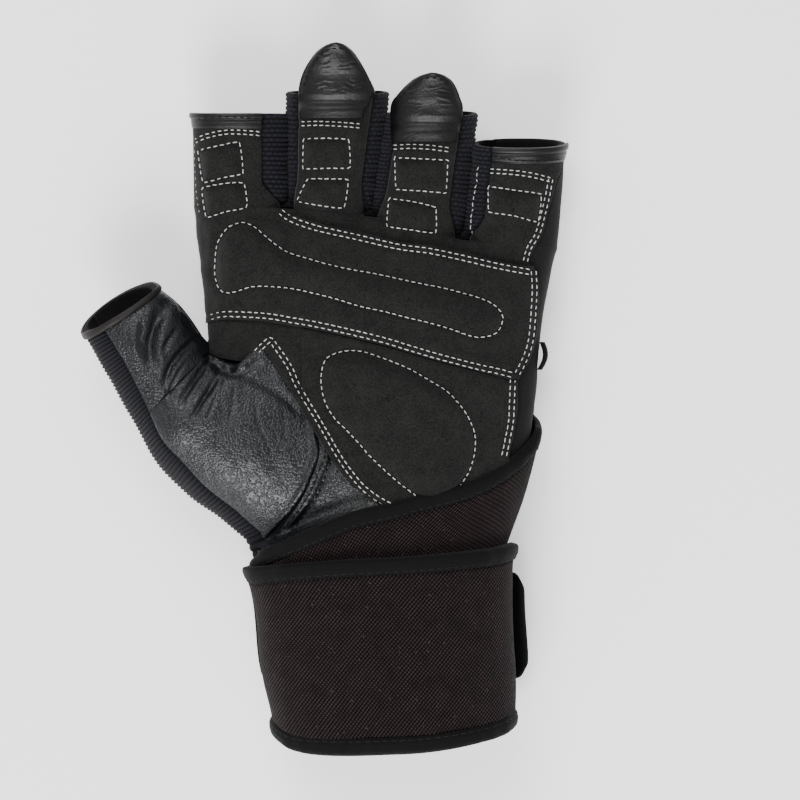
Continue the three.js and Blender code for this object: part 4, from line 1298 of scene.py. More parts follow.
@dataclass
class PalmShell:
    """The suede palm, the side and back fabric, and the grids that other pieces are laid on."""

    per_mm: float = 1.35
    palm_mm: float = 96
    finger_mm: float = 33
    side_gap: float = 0.25
    open_from: float = 28.4
    lattice: Lattice | None = None

    def _rows(self) -> Array:
        """Places along: few inside the wrap, even over the palm, and even over the fingers.

        Returns:
            Places from 0 at the wrist to 2 at the mouths.
        """
        palm, finger = round(self.palm_mm * self.per_mm), round(self.finger_mm * self.per_mm)
        in_wrap = np.linspace(0, 0.32, 8)[:-1]
        return np.concatenate([in_wrap, np.linspace(0.32, 1, palm), np.linspace(1, 2, finger)[1:]])

    def _spread(self, finger: Finger, left: Array, right: Array) -> Array:
        """Places across a strip, closer where the strip turns down at a side.

        Args:
            finger: The finger.
            left: The strip's left limit for each row.
            right: Its right limit for each row.

        Returns:
            Rows of places from left to right.
        """
        share = finger.strip_right - finger.strip_left
        t = np.linspace(0, 1, max(8, round(2 * finger.half_base * BREADTH * self.per_mm * share / 2)))
        a, b = np.arccos(np.clip(left, -1, 1)), np.arccos(np.clip(right, -1, 1))
        return np.cos(mix(a[:, None], b[:, None], t))

    @staticmethod
    def side_limit(along: Array, shift: float = 0.0) -> Array:
        """Where the seam on the little finger's side crosses each row.

        Args:
            along: The rows.
            shift: Millimetres that the seam is moved to the right.

        Returns:
            Places across the little finger's column.
        """
        seam = curve_at(SIDE_EDGE, 1)

        def right_of(across: Array) -> Array:
            """Whether places across lie right of the seam."""
            p = shell_point(LITTLE, across, 1, along, WALL)
            return p[:, 0] > seam(p[:, 1]) + shift

        return halved(np.full(len(along), -0.6), np.ones(len(along)), right_of)

    def palm_columns(self, along: Array) -> list[tuple[Finger, Array]]:
        """The palm's columns: one block for each finger, the last one up to the side seam.

        Args:
            along: Places along.

        Returns:
            Fingers and their places across, rows by columns.
        """
        blocks = []
        for finger in FINGERS:
            right = self.side_limit(along) if finger is LITTLE else strip_edge(finger, True, along)
            blocks.append((finger, self._spread(finger, strip_edge(finger, False, along), right)))
        return blocks

    @staticmethod
    def grid(blocks: Blocks, along: Array, side: float, offset: Callable[[Array], Array] | float) -> Array:
        """Points for blocks of columns, with an offset that may depend on the place of the plan.

        Args:
            blocks: Fingers and their places across, rows by columns.
            along: Places along, rows by columns or rows alone.
            side: 1 for the palm, -1 for the back.
            offset: Millimetres, or a function of the plan.

        Returns:
            Rows and columns of points.
        """
        parts, start = [], 0
        for finger, across in blocks:
            rows = along[:, None] if along.ndim == 1 else along[:, start:start + across.shape[1]]
            start += across.shape[1]
            value = offset(shell_point(finger, across, side, rows, WALL)) if callable(offset) else offset
            parts.append(shell_point(finger, across, side, rows, value))
        return np.concatenate(parts, 1)

    @staticmethod
    def keep(blocks: Blocks, along: Array) -> Array:
        """Leaves out the cells between the fingers above the crotches.

        Args:
            blocks: Fingers and their places across.
            along: Places along.

        Returns:
            Which cells are there.
        """
        widths = [across.shape[1] for _, across in blocks]
        kept = np.ones((len(along) - 1, sum(widths) - 1), bool)
        for edge in np.cumsum(widths)[:-1]:
            kept[along[:-1] >= 1 - 1e-9, edge - 1] = False
        return kept

    @staticmethod
    def relief(points: Array) -> Array:
        """The palm's own relief: soft unevenness, sunk seams, and a lift over the thumb's leather."""
        return suede_level(points[..., :2]) - seam_channels(points[..., :2])

    def build(self) -> None:
        """Builds the suede palm with its strips, the side fabric and the back."""
        along = self._rows()
        blocks = self.palm_columns(along)
        start = crossings(blocks, len(along) // 3, 1, curve_at(WEB_EDGE, 0), 0.95, self.open_from)
        bent = begun_at(start, along)
        outer, inner = self.grid(blocks, bent, 1, self.relief), self.grid(blocks, bent, 1, 0.0)
        lifted = np.maximum(0, self.relief(outer) - WALL - 0.3)
        inner[..., 2] += np.minimum(lifted, 1.7)
        palm = closed_sheet("palm_suede", outer, inner, self.keep(blocks, along))
        dress(palm, SUEDE, "suede", "palm_panel")
        self.lattice = Lattice(outer)
        self._inside_wrap()
        self._side(along)
        self._back()

    @staticmethod
    def _inside_wrap() -> None:
        """The palm's suede below the thumb, which the wrap covers."""
        y = np.linspace(PALM_END, BELOW_THUMB, 24)[:, None] * LENGTH
        turn = np.linspace(52, 196, 90)[None, :]
        outer, inner = wrist_point(y, turn, WALL - 0.5), wrist_point(y, turn, 0.0)
        dress(closed_sheet("palm_suede_in_wrap", outer, inner), SUEDE, "suede")

    def _side(self, along: Array) -> None:
        """The strip of fabric on the little finger's side, from the palm's edge to the back.

        Args:
            along: The palm's rows.
        """
        limit = self.side_limit(along, self.side_gap)
        rows, limit = along[limit < 0.985], limit[limit < 0.985]
        across = np.cos(mix(np.arccos(np.clip(limit, -1, 1))[:, None], 0, np.linspace(0, 1, 14)))
        uneven = lambda p: WALL + 0.3 * waves(p[..., 1], p[..., 2], 15, 21)
        outer, inner = (self.grid([(LITTLE, across)], rows, 1, offset) for offset in (uneven, 0.0))
        dress(closed_sheet("side_fabric", outer, inner), JERSEY, "stretch_fabric", "side_panel")

    def _back(self) -> None:
        """The plain back with its four finger backs, lying on the surface under the glove.

        Each of its columns begins above the seam that the thumb's back leaves.
        """
        rows = np.concatenate([np.linspace(0, 1, 90), np.linspace(1, 2, 28)[1:]])
        blocks = []
        for finger in FINGERS:
            a, b = math.acos(max(-1, finger.strip_left)), math.acos(min(1, finger.strip_right))
            blocks.append((finger, np.ones((len(rows), 1)) * np.cos(mix(a, b, np.linspace(0, 1, 26)))))
        row = np.linspace(2, 8, 60)
        x, y = THUMB.read("bx", row) * BREADTH, THUMB.read("by", row) * LENGTH
        order = np.argsort(x)
        seam = lambda at: np.interp(at, x[order], y[order]) + 0.4
        bent = begun_at(crossings(blocks, 0, -1, seam, 0.95, x.max() - 0.5), rows)
        outer, inner = self.grid(blocks, bent, -1, WALL), self.grid(blocks, bent, -1, 0.0)
        sheet = closed_sheet("back_fabric", outer, inner, self.keep(blocks, rows))
        dress(sheet, JERSEY, "stretch_fabric", "back_panel")


FINGER_SEAMS = {
    "index": (((192, 139), (206, 134), (225, 130.5), (243, 130.5), (261, 132)), 1.15),
    "middle": (((300, 121.5), (320, 121.5), (341, 122.5), (361, 124)), 1.2),
    "ring": (((392, 145), (410, 144.5), (430, 145.5), (450, 148)), 1.2),
    "little": (((489, 169), (510, 170.5), (530, 173), (552, 178)), 1.2),
}
# A nearly hidden seam down the index finger's outer edge, and the seam down the little finger's.
EDGE_SEAM = ((193.5, 141), (194, 165), (195.5, 190), (199, 214))
LITTLE_SIDE = ((553, 178), (548, 203), (540, 233), (531, 249), (527, 263))


def doubled(points: Sequence, gap: float) -> list[Array]:
    """The two lines of a double seam."""
    return [drawn(points), beside(drawn(points), gap)]


# The white seams of the palm, as dense lines in millimetres.
SEAMS = {
    "upper": doubled(UPPER_SEAM, -1.45),
    "lower": doubled(LOWER_SEAM, -1.45),
    "side": doubled(SIDE_COLUMN, 1.45) + doubled(SIDE_COLUMN_LOW, 1.45),
    "web": doubled(WEB_STITCH, -1.35),
    "pads": [drawn(UPPER_PAD_LINE, True), drawn(HEEL_PAD_LINE, True)],
    "fingers": [run for points, gap in FINGER_SEAMS.values() for run in doubled(points, -gap)],
    "little side": doubled(LITTLE_SIDE, -1.25),
}
CHANNEL_DEPTH = 0.38
CHANNEL_WIDTH = 0.75


def seam_channels(xy: Array) -> Array:
    """How deep the sewing pulls the suede down: a narrow bell along every seam of the palm.

    Args:
        xy: Places of the plan in millimetres.

    Returns:
        Depths in millimetres.
    """
    depth = np.zeros(xy.shape[:-1])
    for name in ("upper", "lower", "side", "web", "fingers", "little side"):
        for run in SEAMS[name]:
            d, _ = line_distance(xy, resample(run, 4.0))
            depth = np.maximum(depth, CHANNEL_DEPTH * np.exp(-(d / CHANNEL_WIDTH) ** 2))
    return depth


@dataclass
class Overlays:
    """The suede layers over the palm, between their seams, and the padded islands on them."""

    shell: PalmShell
    lattices: list[Lattice] = field(default_factory=list)

    def _columns(self, low_x: float) -> list[tuple[Finger, Array]]:
        """The palm's columns at one height.

        Args:
            low_x: Where they start across, in millimetres.

        Returns:
            Fingers and their places across, in one row.
        """
        blocks = []
        for finger, across in self.shell.palm_columns(np.array([0.8])):
            x = shell_point(finger, across[0], 1, 0.8, WALL)[:, 0]
            pick = x >= low_x
            if pick.any():
                blocks.append((finger, across[:, pick]))
        return blocks

    def layer(self, name: str, low: Callable[[Array], Array], high: Callable[[Array], Array], low_x: float,
              feather: Callable[[Array], Array], node_name: str) -> None:
        """One suede layer between two lines of the plan.

        Args:
            name: The piece's name.
            low: The lower edge, y over x.
            high: The upper edge, y over x.
            low_x: Where it starts across.
            feather: How much of its height it has over places of the plan.
            node_name: The solid that it stands for.
        """
        blocks = self._columns(low_x)
        v = np.linspace(0, 1, 96)[:, None]
        along = mix(*(crossings(blocks, 0, 1, line_over, 1.0) for line_over in (low, high)), v)
        blocks = [(finger, np.repeat(across, len(v), 0)) for finger, across in blocks]
        blocks = self._to_seam(blocks, along)
        edge = smooth(np.minimum(v, 1 - v) * 30 + 0.15)

        def top(p: Array) -> Array:
            """The layer's outer offset, lower at its edges, in its seams and where it runs out.

            Args:
                p: Points of the shell in millimetres.

            Returns:
                Millimetres outwards.
            """
            xy = p[..., :2]
            s = hand_section(xy[..., 1])
            from_side = smooth((xy[..., 0] - (s["centre"] - s["half"])) / 5)
            rise = mix(-0.3, OVER_OVERLAY - WALL, feather(xy) * mix(0.45, 1, from_side))
            return suede_level(xy) + rise - 1.2 * seam_channels(xy) - self.under_pads(xy)

        outer = self.shell.grid(blocks, along, 1, top)
        outer[..., 2] -= 0.5 * (1 - edge)
        inner = self.shell.grid(blocks, along, 1, WALL - 0.5)
        dress(closed_sheet(name, outer, inner), SUEDE, "suede", node_name)
        self.lattices.append(Lattice(outer))

    def _to_seam(self, blocks: list[tuple[Finger, Array]], along: Array) -> list[tuple[Finger, Array]]:
        """Fits the little finger's columns to the side seam on every row.

        Args:
            blocks: Fingers and their places across, rows by columns.
            along: Places along, rows by columns.

        Returns:
            The fitted blocks.
        """
        start, out = 0, []
        for finger, across in blocks:
            width = across.shape[1]
            if finger is LITTLE:
                rows = along[:, start + width - 1]
                limit = self.shell.side_limit(rows, shift=-0.35)
                left = across[:, :1]
                across = left + (across - left) / (across[:, -1:] - left) * (limit[:, None] - left)
            start += width
            out.append((finger, across))
        return out

    @staticmethod
    def under_pads(xy: Array) -> Array:
        """How far a layer gives way under the padded islands and in the sewing round them.

        Args:
            xy: Places of the plan in millimetres.

        Returns:
            Depths in millimetres.
        """
        depth = np.zeros(xy.shape[:-1])
        for run in SEAMS["pads"]:
            d, _ = line_distance(xy, resample(run, 4.0))
            under, beside_it = 0.55 + 0.8 * smooth(d / 2), 0.55 * np.exp(-(d / 0.8) ** 2)
            depth = np.maximum(depth, np.where(inside(xy, resample(run, 2.0)), under, beside_it))
        return depth

    def build(self) -> None:
        """Builds the two layers."""
        upper, lower = curve_at(UPPER_SEAM, 0), curve_at(LOWER_SEAM, 0)
        crotch = plan([(281, 209)])[0]

        def top_edge(x: Array) -> Array:
            """The upper double seam, and level with the crotch to the left of it."""
            return np.where(x < crotch[0], crotch[1] - 0.2, upper(x) + 0.9)

        def fade_up(xy: Array) -> Array:
            """Full height, but running out towards the index finger's strip."""
            near, past = smooth((crotch[1] - xy[..., 1]) / 9), smooth((xy[..., 0] - crotch[0]) / 2)
            return np.where(xy[..., 0] < crotch[0] + 2, mix(near, 1, past), 1.0)

        self.layer("upper_palm_layer", lambda x: lower(x) - 2.3, top_edge, -60, fade_up, "upper_palm_overlay")
        web = curve_at(WEB_EDGE, 0)
        start = plan([(273, 330)])[0]

        def fade_left(xy: Array) -> Array:
            """Full height, but running out to the left of the web."""
            return smooth((xy[..., 0] - start[0]) / 7)

        self.layer("heel_layer", lambda x: np.maximum(web(x) + 0.5, -50), lambda x: lower(x) - 2.6, start[0],
                   fade_left, "heel_overlay")


def pad_grid(outline: Array, along: int, across: int) -> Array:
    """A grid over a closed outline, with lines that run from one long side to the other.

    The outline is cut in two at its ends along its longest direction. Both halves are resampled to the
    same count, and the rows between them lie closer together near the outline: (1 - cos(pi v)) / 2.

    Args:
        outline: A closed line without its last point doubled.
        along: How many places along it.
        across: How many places across it.

    Returns:
        Rows and columns of places.
    """
    centre = outline.mean(0)
    way = np.linalg.svd(outline - centre, full_matrices=False)[2][0]
    run = (outline - centre) @ way
    turned = np.roll(outline, -int(np.argmin(run)), axis=0)
    far = int(np.argmax((turned - centre) @ way))
    halves = [turned[:far + 1], np.concatenate([turned[far:], turned[:1]])[::-1]]
    first, second = (resample_to(half, along + 2)[1:-1] for half in halves)
    share = (1 - np.cos(math.pi * np.linspace(0, 1, across))) / 2
    return mix(first[None], second[None], share[:, None, None])


def shrunk(outline: Array, distance: float) -> Array:
    """A closed outline moved inwards.

    Args:
        outline: Its places.
        distance: Millimetres.

    Returns:
        The moved places.
    """
    around = np.concatenate([outline[-1:], outline, outline[:1]])
    x, y = outline[:, 0], outline[:, 1]
    turns_left = (x * np.roll(y, -1) - y * np.roll(x, -1)).sum() > 0
    return beside(around, distance if turns_left else -distance)[1:-1]


AIR_PRESSURE = 4.0
AIR_FRAMES = 20
AIR_CAP = 0.7


def puffed(obj: Piece, pinned: Array) -> None:
    """Lets air fill a padded piece as cloth, with its sewn rim and its underside held.

    The cloth runs for 20 frames under pressure without gravity. No vertex moves by more than the cap.

    Args:
        obj: The piece, closed and at the origin.
        pinned: The vertices that are held.
    """
    mesh, scene = obj.data, bpy.context.scene
    rest = np.empty(len(mesh.vertices) * 3, np.float32)
    mesh.vertices.foreach_get("co", rest)
    group = obj.vertex_groups.new(name="sewn down")
    group.add(pinned.tolist(), 1.0, "REPLACE")
    air = obj.modifiers.new("air", "CLOTH")
    air.settings.vertex_group_mass = group.name
    air.settings.use_pressure = True
    air.settings.uniform_pressure_force = AIR_PRESSURE
    air.settings.effector_weights.gravity = 0.0
    air.settings.tension_stiffness = air.settings.compression_stiffness = 15.0
    air.settings.bending_stiffness = 0.5
    air.settings.quality = 6
    air.point_cache.frame_start, air.point_cache.frame_end = 1, AIR_FRAMES
    for step in range(1, AIR_FRAMES + 1):
        scene.frame_set(step)
    filled = obj.evaluated_get(bpy.context.evaluated_depsgraph_get()).to_mesh()
    moved = np.empty_like(rest)
    filled.vertices.foreach_get("co", moved)
    obj.evaluated_get(bpy.context.evaluated_depsgraph_get()).to_mesh_clear()
    obj.modifiers.remove(air)
    obj.vertex_groups.remove(group)
    scene.frame_set(1)
    shift = (moved - rest).reshape(-1, 3)
    far = np.linalg.norm(shift, axis=1, keepdims=True)
    shift *= np.minimum(1, AIR_CAP * MM / np.maximum(far, 1e-9))
    log.info("%s: air moved it by %.2f mm at most", obj.name, float(far.max()) / MM)
    mesh.vertices.foreach_set("co", (rest.reshape(-1, 3) + shift).ravel())
    mesh.update()


@dataclass(frozen=True)
class PadKind:
    """How high pads are, how far in from the rim they are that high, and how fine their grids are."""

    crown: float
    shoulder: float
    along: int
    across: int


PALM_PAD = PadKind(2.3, 5.0, 110, 44)
FINGER_PAD = PadKind(1.7, 3.0, 30, 20)
PADS = {
    "upper_palm_pad": (PALM_PAD, UPPER_PAD_LINE),
    "heel_pad": (PALM_PAD, HEEL_PAD_LINE),
    "index_pad_upper": (FINGER_PAD, (
        (199, 150), (220, 145.5), (236, 142.5), (240, 145), (243, 171), (240, 174.5), (222, 178), (206, 182),
        (202, 179), (198, 154))),
    "index_pad_lower": (FINGER_PAD, (
        (205, 187), (225, 183.5), (242, 183), (245, 187), (247, 204), (243, 208.5), (225, 212), (208, 217),
        (205, 213), (202, 191))),
    "middle_pad_upper": (FINGER_PAD, (
        (306, 139), (327, 138.5), (346, 139.5), (349, 143), (350, 164), (347, 168), (325, 168.5),
        (305, 168.5),
        (303, 165), (303.5, 142))),
    "middle_pad_lower": (FINGER_PAD, (
        (310, 179), (328, 179), (346, 179.5), (348, 183), (345, 204), (341, 208), (322, 206), (299, 201.5),
        (298, 198), (306, 182))),
    "ring_pad_upper": (FINGER_PAD, (
        (397, 158), (420, 159), (445, 160.5), (447.5, 163), (446, 190), (442, 192.5), (420, 191),
        (398, 189.5),
        (396, 187), (395, 160))),
    "ring_pad_lower": (FINGER_PAD, (
        (392, 199), (414, 202), (434, 207), (436, 210), (436, 230), (432, 233), (410, 230), (390, 227),
        (387, 224), (389, 201))),
    "little_pad": (FINGER_PAD, (
        (491, 187), (515, 190.5), (538, 193.5), (541, 196.5), (539, 218), (535, 221.5), (514, 216),
        (491, 212.5),
        (488.5, 209), (488.5, 190))),
}


@dataclass
class Pads:
    """The padded islands: two on the palm and seven on the finger strips."""

    lattices: list[Lattice]
    inset: float = 0.42
    held: float = 0.3

    def build(self) -> None:
        for name, (kind, corners) in PADS.items():
            outline = drawn(corners, True)[:-1]
            flat = pad_grid(shrunk(outline, self.inset), kind.along, kind.across)
            under = top_height(flat.reshape(-1, 2), self.lattices).reshape(flat.shape[:2])
            d = line_distance(flat, np.concatenate([outline, outline[:1]]))[0] - self.inset
            dome = kind.crown * (1 - (1 - np.clip(d / kind.shoulder, 0, 1)) ** 2) ** 0.8
            sunk = 0.55 + 0.8 * smooth((d + self.inset) / 2) if kind is PALM_PAD else 0.25
            wrinkle = 0.05 * waves(flat[..., 0], flat[..., 1], 6, 31) * smooth(d / 2)
            base = under + sunk - 0.35
            top = np.concatenate([flat, (base + dome + wrinkle)[..., None]], -1)
            bottom = np.concatenate([flat, (base - 0.25)[..., None]], -1)
            obj = closed_sheet(name + "_suede", top, bottom)
            rim = d.size + np.flatnonzero(d.ravel() < self.held)
            puffed(obj, np.concatenate([np.arange(d.size), rim]))
            dress(obj, SUEDE, "suede", name)


@dataclass
class FingerKnits:
    """The coarse knit gussets between the fingers."""

    course: float = 1.42
    wale: float = 1.12
    bump: float = 0.55
    rows: int = 98
    columns: int = 62

    def build(self) -> None:
        """Builds the three gussets."""
        for before, after in zip(FINGERS[:-1], FINGERS[1:]):
            self._gusset(before, after)

    @staticmethod
    def _to_neighbour(finger: Finger, other: Finger, hand: int, along: Array) -> Array:
        """Half the gap to the next finger's side, at the same height, so that the two legs touch.

        Args:
            finger: The finger that the leg is on.
            other: The finger across the crotch.
            hand: 1 where the other finger lies to the right.
            along: Rows from the crotch to the mouth.

        Returns:
            Millimetres towards the other finger.
        """
        own = finger.point(float(hand), 1, along, WALL)
        crotch = (other.crotch_left if hand > 0 else other.crotch_right) * LENGTH
        same = np.clip((own[:, 1] - crotch) / (other.mouth * LENGTH - crotch), 0, 1)
        theirs = other.point(float(-hand), 1, same, WALL)
        return np.clip((theirs[:, 0] - own[:, 0]) * hand / 2 + 0.40, -1, 2.4)

    def _gusset(self, before: Finger, after: Finger) -> None:
        """One gusset: down one finger's side, across the crotch and up the next one's side.

        Its offset is the wall and a grid of round bumps, one for each course and wale of the knit.

        Args:
            before: The finger on the thumb's side.
            after: The finger on the little finger's side.
        """
        outer, inner, stands = [], [], []
        for finger, other, hand in ((before, after, 1), (after, before, -1)):
            along = np.linspace(1, 0, self.rows)[::hand]
            front = np.arccos(np.minimum(1, np.abs(strip_edge(finger, hand > 0, along + 1)))) + 0.06
            back = math.acos(min(1, finger.strip_right if hand > 0 else -finger.strip_left)) + 0.06
            angle = mix(front[:, None], -back, np.linspace(0, 1, self.columns)[None, :])
            side = np.where(angle >= 0, 1.0, -1.0)
            rows = along[:, None]
            run = (1 - rows) * (finger.mouth - finger.crotch_right) * LENGTH
            course = np.abs(np.sin(math.pi * run / self.course)) ** 0.8
            stagger = 0.5 * math.pi * np.floor(run / self.course) + 0.4 * np.sin(run / 5)
            wale = np.abs(np.sin(math.pi * angle * 8.0 / self.wale + stagger))
            knit = course * (0.45 + 0.55 * wale)
            tuck = smooth((angle - front[:, None] + 0.2) / 0.2) + smooth((-back + 0.25 - angle) / 0.2)
            flat = finger.point(hand * np.cos(angle), side, rows, WALL)
            sag = 0.25 * waves(run + 0 * angle, flat[..., 0], 9, 41)
            offset = WALL - 0.3 + self.bump * knit + sag - 1.3 * tuck
            near = np.clip(1 - (angle / 1.1) ** 2, 0, 1)
            bulge = self._to_neighbour(finger, other, hand, along)[:, None] * near
            for target, value in ((outer, offset), (inner, np.zeros_like(offset))):
                point = finger.point(hand * np.cos(angle), side, rows, value)
                point[..., 0] += hand * bulge
                point[..., 1] += (0.3 + value) * smooth(1 - rows / 0.06)
                target.append(point)
            # The knit's colour follows these values as painted shade, darker still where the knit tucks
            # under.
            stands.append(knit * (1 - 0.7 * np.clip(tuck, 0, 1)))
        name = f"{before.name}_{after.name}"
        obj = closed_sheet(f"knit_gusset_{name}", np.concatenate(outer), np.concatenate(inner),
                           relief=np.concatenate(stands))
        dress(obj, FINGER_KNIT, "finger_knit", f"fourchette_{name}")
        if after is LITTLE:
            self._fold_stitches(outer[1], np.argmin(np.abs(angle - 0.55), axis=1))

    @staticmethod
    def _fold_stitches(leg: Array, column: Array) -> None:
        """White stitches along the fold of the little finger's leg.

        Args:
            leg: The leg's outer face.
            column: The fold's place on each of its rows.
        """
        run = leg[np.arange(len(leg)), column][6:-19:2]
        out = np.tile([-0.55, 0.0, 0.83], (len(run), 1))
        kind = Stitching(pitch=1.9, length=1.2, radius=0.15)
        sewn_on("knit_fold_stitches", kind, [np.concatenate([run, out], -1)], "finger_knit")


@dataclass
class FingerEnds:
    """The leather at the finger mouths: two bands with rolled edges and two pull tabs."""

    band_starts: dict[str, float] = field(default_factory=lambda: {"index": 0.845, "little": 0.85})
    tab_foot: dict[str, float] = field(default_factory=lambda: {"middle": 118.5, "ring": 142.0})

    def build(self) -> None:
        """Builds the bands and the tabs with their stitches."""
        for finger in (INDEX, LITTLE):
            self._band(finger, self.band_starts[finger.name])
        for finger in (MIDDLE, RING):
            self._tab(finger, plan([(0, self.tab_foot[finger.name])])[0][1])

    @staticmethod
    def _band(finger: Finger, start: float) -> None:
        """A leather band with a rolled edge at the mouth, sewn in black below the roll.

        Args:
            finger: The finger.
            start: Where it begins along the finger.
        """
        a, b = math.acos(max(-1, finger.strip_left)), math.acos(min(1, finger.strip_right))
        u = np.cos(np.linspace(a, b, 90))[None, :]
        v = np.linspace(start, BAND_TOP, 44)[:, None]
        length = (finger.mouth - finger.crotch_left) * LENGTH
        from_mouth = (BAND_TOP - v) * length
        roll = 0.55 * np.sqrt(np.clip(1 - ((from_mouth - 0.9) / 0.9) ** 2, 0, 1))
        base = finger.point(u, 1, v, WALL)
        crease = 0.16 * waves(base[..., 0] * 0.25, base[..., 1] * 1.6, 4, 51 + len(finger.name))
        foot = smooth(1 - (v - start) * length / 0.8)
        offset = WALL + 0.55 + roll + crease * smooth((from_mouth - 2) / 1.2) - 0.35 * foot
        outer = finger.point(u, 1, v, offset)
        inner = finger.point(u, 1, v, WALL + 0.08)
        sheet = closed_sheet(f"{finger.name}_mouth_band", outer, inner)
        dress(sheet, LEATHER, "leather", f"{finger.name}_band")
        lattice = Lattice(outer)
        kind = Stitching(pitch=2.0, length=1.3, radius=0.15, finish=BLACK_THREAD)
        sewn(f"{finger.name}_band_stitches", kind, [drawn(BAND_STITCHES[finger.name])],
             lambda xy: lattice.over(xy)[0], "leather")

    @staticmethod
    def _tab(finger: Finger, foot: float) -> None:
        """A pull tab of doubled leather: along the strip's end, then past the mouth to a round tip.

        Args:
            finger: The finger.
            foot: Where it begins, as y in millimetres.
        """
        outline = TAB_OUTLINES[finger.name]
        left, right = curve_at(outline[0], 1), curve_at(outline[1], 1)
        length = (finger.mouth - finger.crotch_left) * LENGTH
        top_y = plan([outline[0][-1]])[0][1]
        rows = np.linspace(0, 1, 110)[:, None]
        u = np.linspace(-1, 1, 60)[None, :]
        y = np.broadcast_to(mix(foot, top_y, 1 - (1 - rows) ** 1.25), (len(rows), u.shape[1]))
        x = mix(left(y), right(y), (np.sin(u * math.pi / 2) + 1) / 2)
        mouth_y = finger.mouth * LENGTH - np.sin(math.radians(finger.curl)) * 8
        along = np.clip((y - finger.crotch_left * LENGTH) / (mouth_y - finger.crotch_left * LENGTH), 0, 1)
        for _ in range(4):
            centre = mix(finger.base, finger.tip, along) * BREADTH
            half = mix(finger.half_base, finger.half_tip, along) * BREADTH
            c = np.clip((x - centre) / half, -0.97, 0.97)
            p = finger.point(c, 1, along, WALL)
            along = np.clip(along + (y - p[..., 1]) / length, 0, 1)
        past = np.maximum(0, y - p[..., 1])
        z = p[..., 2] + 0.12 * past + 0.012 * past ** 2 * (1 - u * u)
        edge = (1 - np.abs(u) ** 10) ** 0.5 * (1 - rows ** 24) ** 0.5
        seed = 61 + len(finger.name)
        bowed = y + 1.1 * u * u + 0.9 * waves(x, y, 9, seed + 2)
        fine = 0.45 - np.abs(waves(x * 0.16, bowed, 2.2, seed)) ** 0.6
        patch = smooth(0.45 + 1.6 * waves(x, y, 8, seed + 3))
        slow = 0.34 * waves(x * 0.12 + y * 0.03, bowed, 6.5, seed + 1)
        folds = (0.26 * fine * patch + slow) * smooth(past / 3 + 0.35)
        at_mouth = -0.9 * np.exp(-((y - mouth_y + 2.2) / 1.5) ** 2)
        dent = at_mouth + 0.35 * np.exp(-((y - foot - 2.6) / 1.8) ** 2)
        lip = -0.30 * np.exp(-((1 - np.abs(u)) * 9 - 1.9) ** 2) * smooth(past / 2)
        calm = edge * (1 - rows ** 6)
        top = np.stack([x, y, z + 0.4 + 1.9 * (0.45 + 0.55 * edge) + folds * calm + (dent + lip) * edge], -1)
        bottom = np.stack([x, y, z + 0.4 + 0.85 * (1 - edge)], -1)
        obj = closed_sheet(f"{finger.name}_leather_tab", top, bottom)
        dress(obj, LEATHER, "leather", f"{finger.name}_pull_tab")
        lattice = Lattice(top)
        kind = Stitching(pitch=2.0, length=1.35, radius=0.2, finish=BLACK_THREAD)
        sewn(f"{finger.name}_tab_stitches", kind, [drawn(TAB_STITCHES[finger.name])],
             lambda xy: lattice.over(xy)[0], "leather")


# Where a band ends, past the mouth, in shares of the finger.
BAND_TOP = 1.012
BAND_STITCHES = {
    "index": ((195, 119), (212, 118), (225, 117.5), (243, 118), (260, 119)),
    "little": ((492, 156), (508, 160), (526, 161.5), (545, 161.5), (562, 159)),
}
# Each tab's left and right edge, from its foot to its tip.
TAB_OUTLINES = {
    "middle": (((300, 124), (299, 112), (298.5, 96), (299, 86), (303, 73), (310, 61), (317, 52.5),
                (324, 47.5), (330, 45), (336, 44)),
               ((363, 127), (364, 112), (371, 100), (375, 92), (369, 78), (362, 65), (355, 54.5), (350, 49.5),
                (344, 45.5), (337, 44))),
    "ring": (((392, 148), (391, 135), (390, 120), (391, 104), (397, 95.5), (405, 87), (413, 80.5),
              (421, 76.5), (430, 74)),
             ((452, 151), (457, 138), (461, 122), (463, 108), (460, 98), (456, 88), (451, 81), (444, 76.5),
              (437, 74.5), (431, 74))),
}
TAB_STITCHES = {
    "middle": ((303, 88), (308, 76), (315, 64), (323, 55), (332, 51), (343, 51), (349, 57)),
    "ring": ((398, 103), (406, 93), (416, 85), (428, 80), (440, 81), (449, 88)),
}


# The seam where the wrist's leather leaves the mound, in shares of the breadth and of the length.
GUSSET_LINE = ((-0.030, -0.020), (-0.008, -0.073), (-0.023, -0.096), (-0.050, -0.128), (-0.084, -0.154),
               (-0.117, -0.173), (-0.170, -0.200))


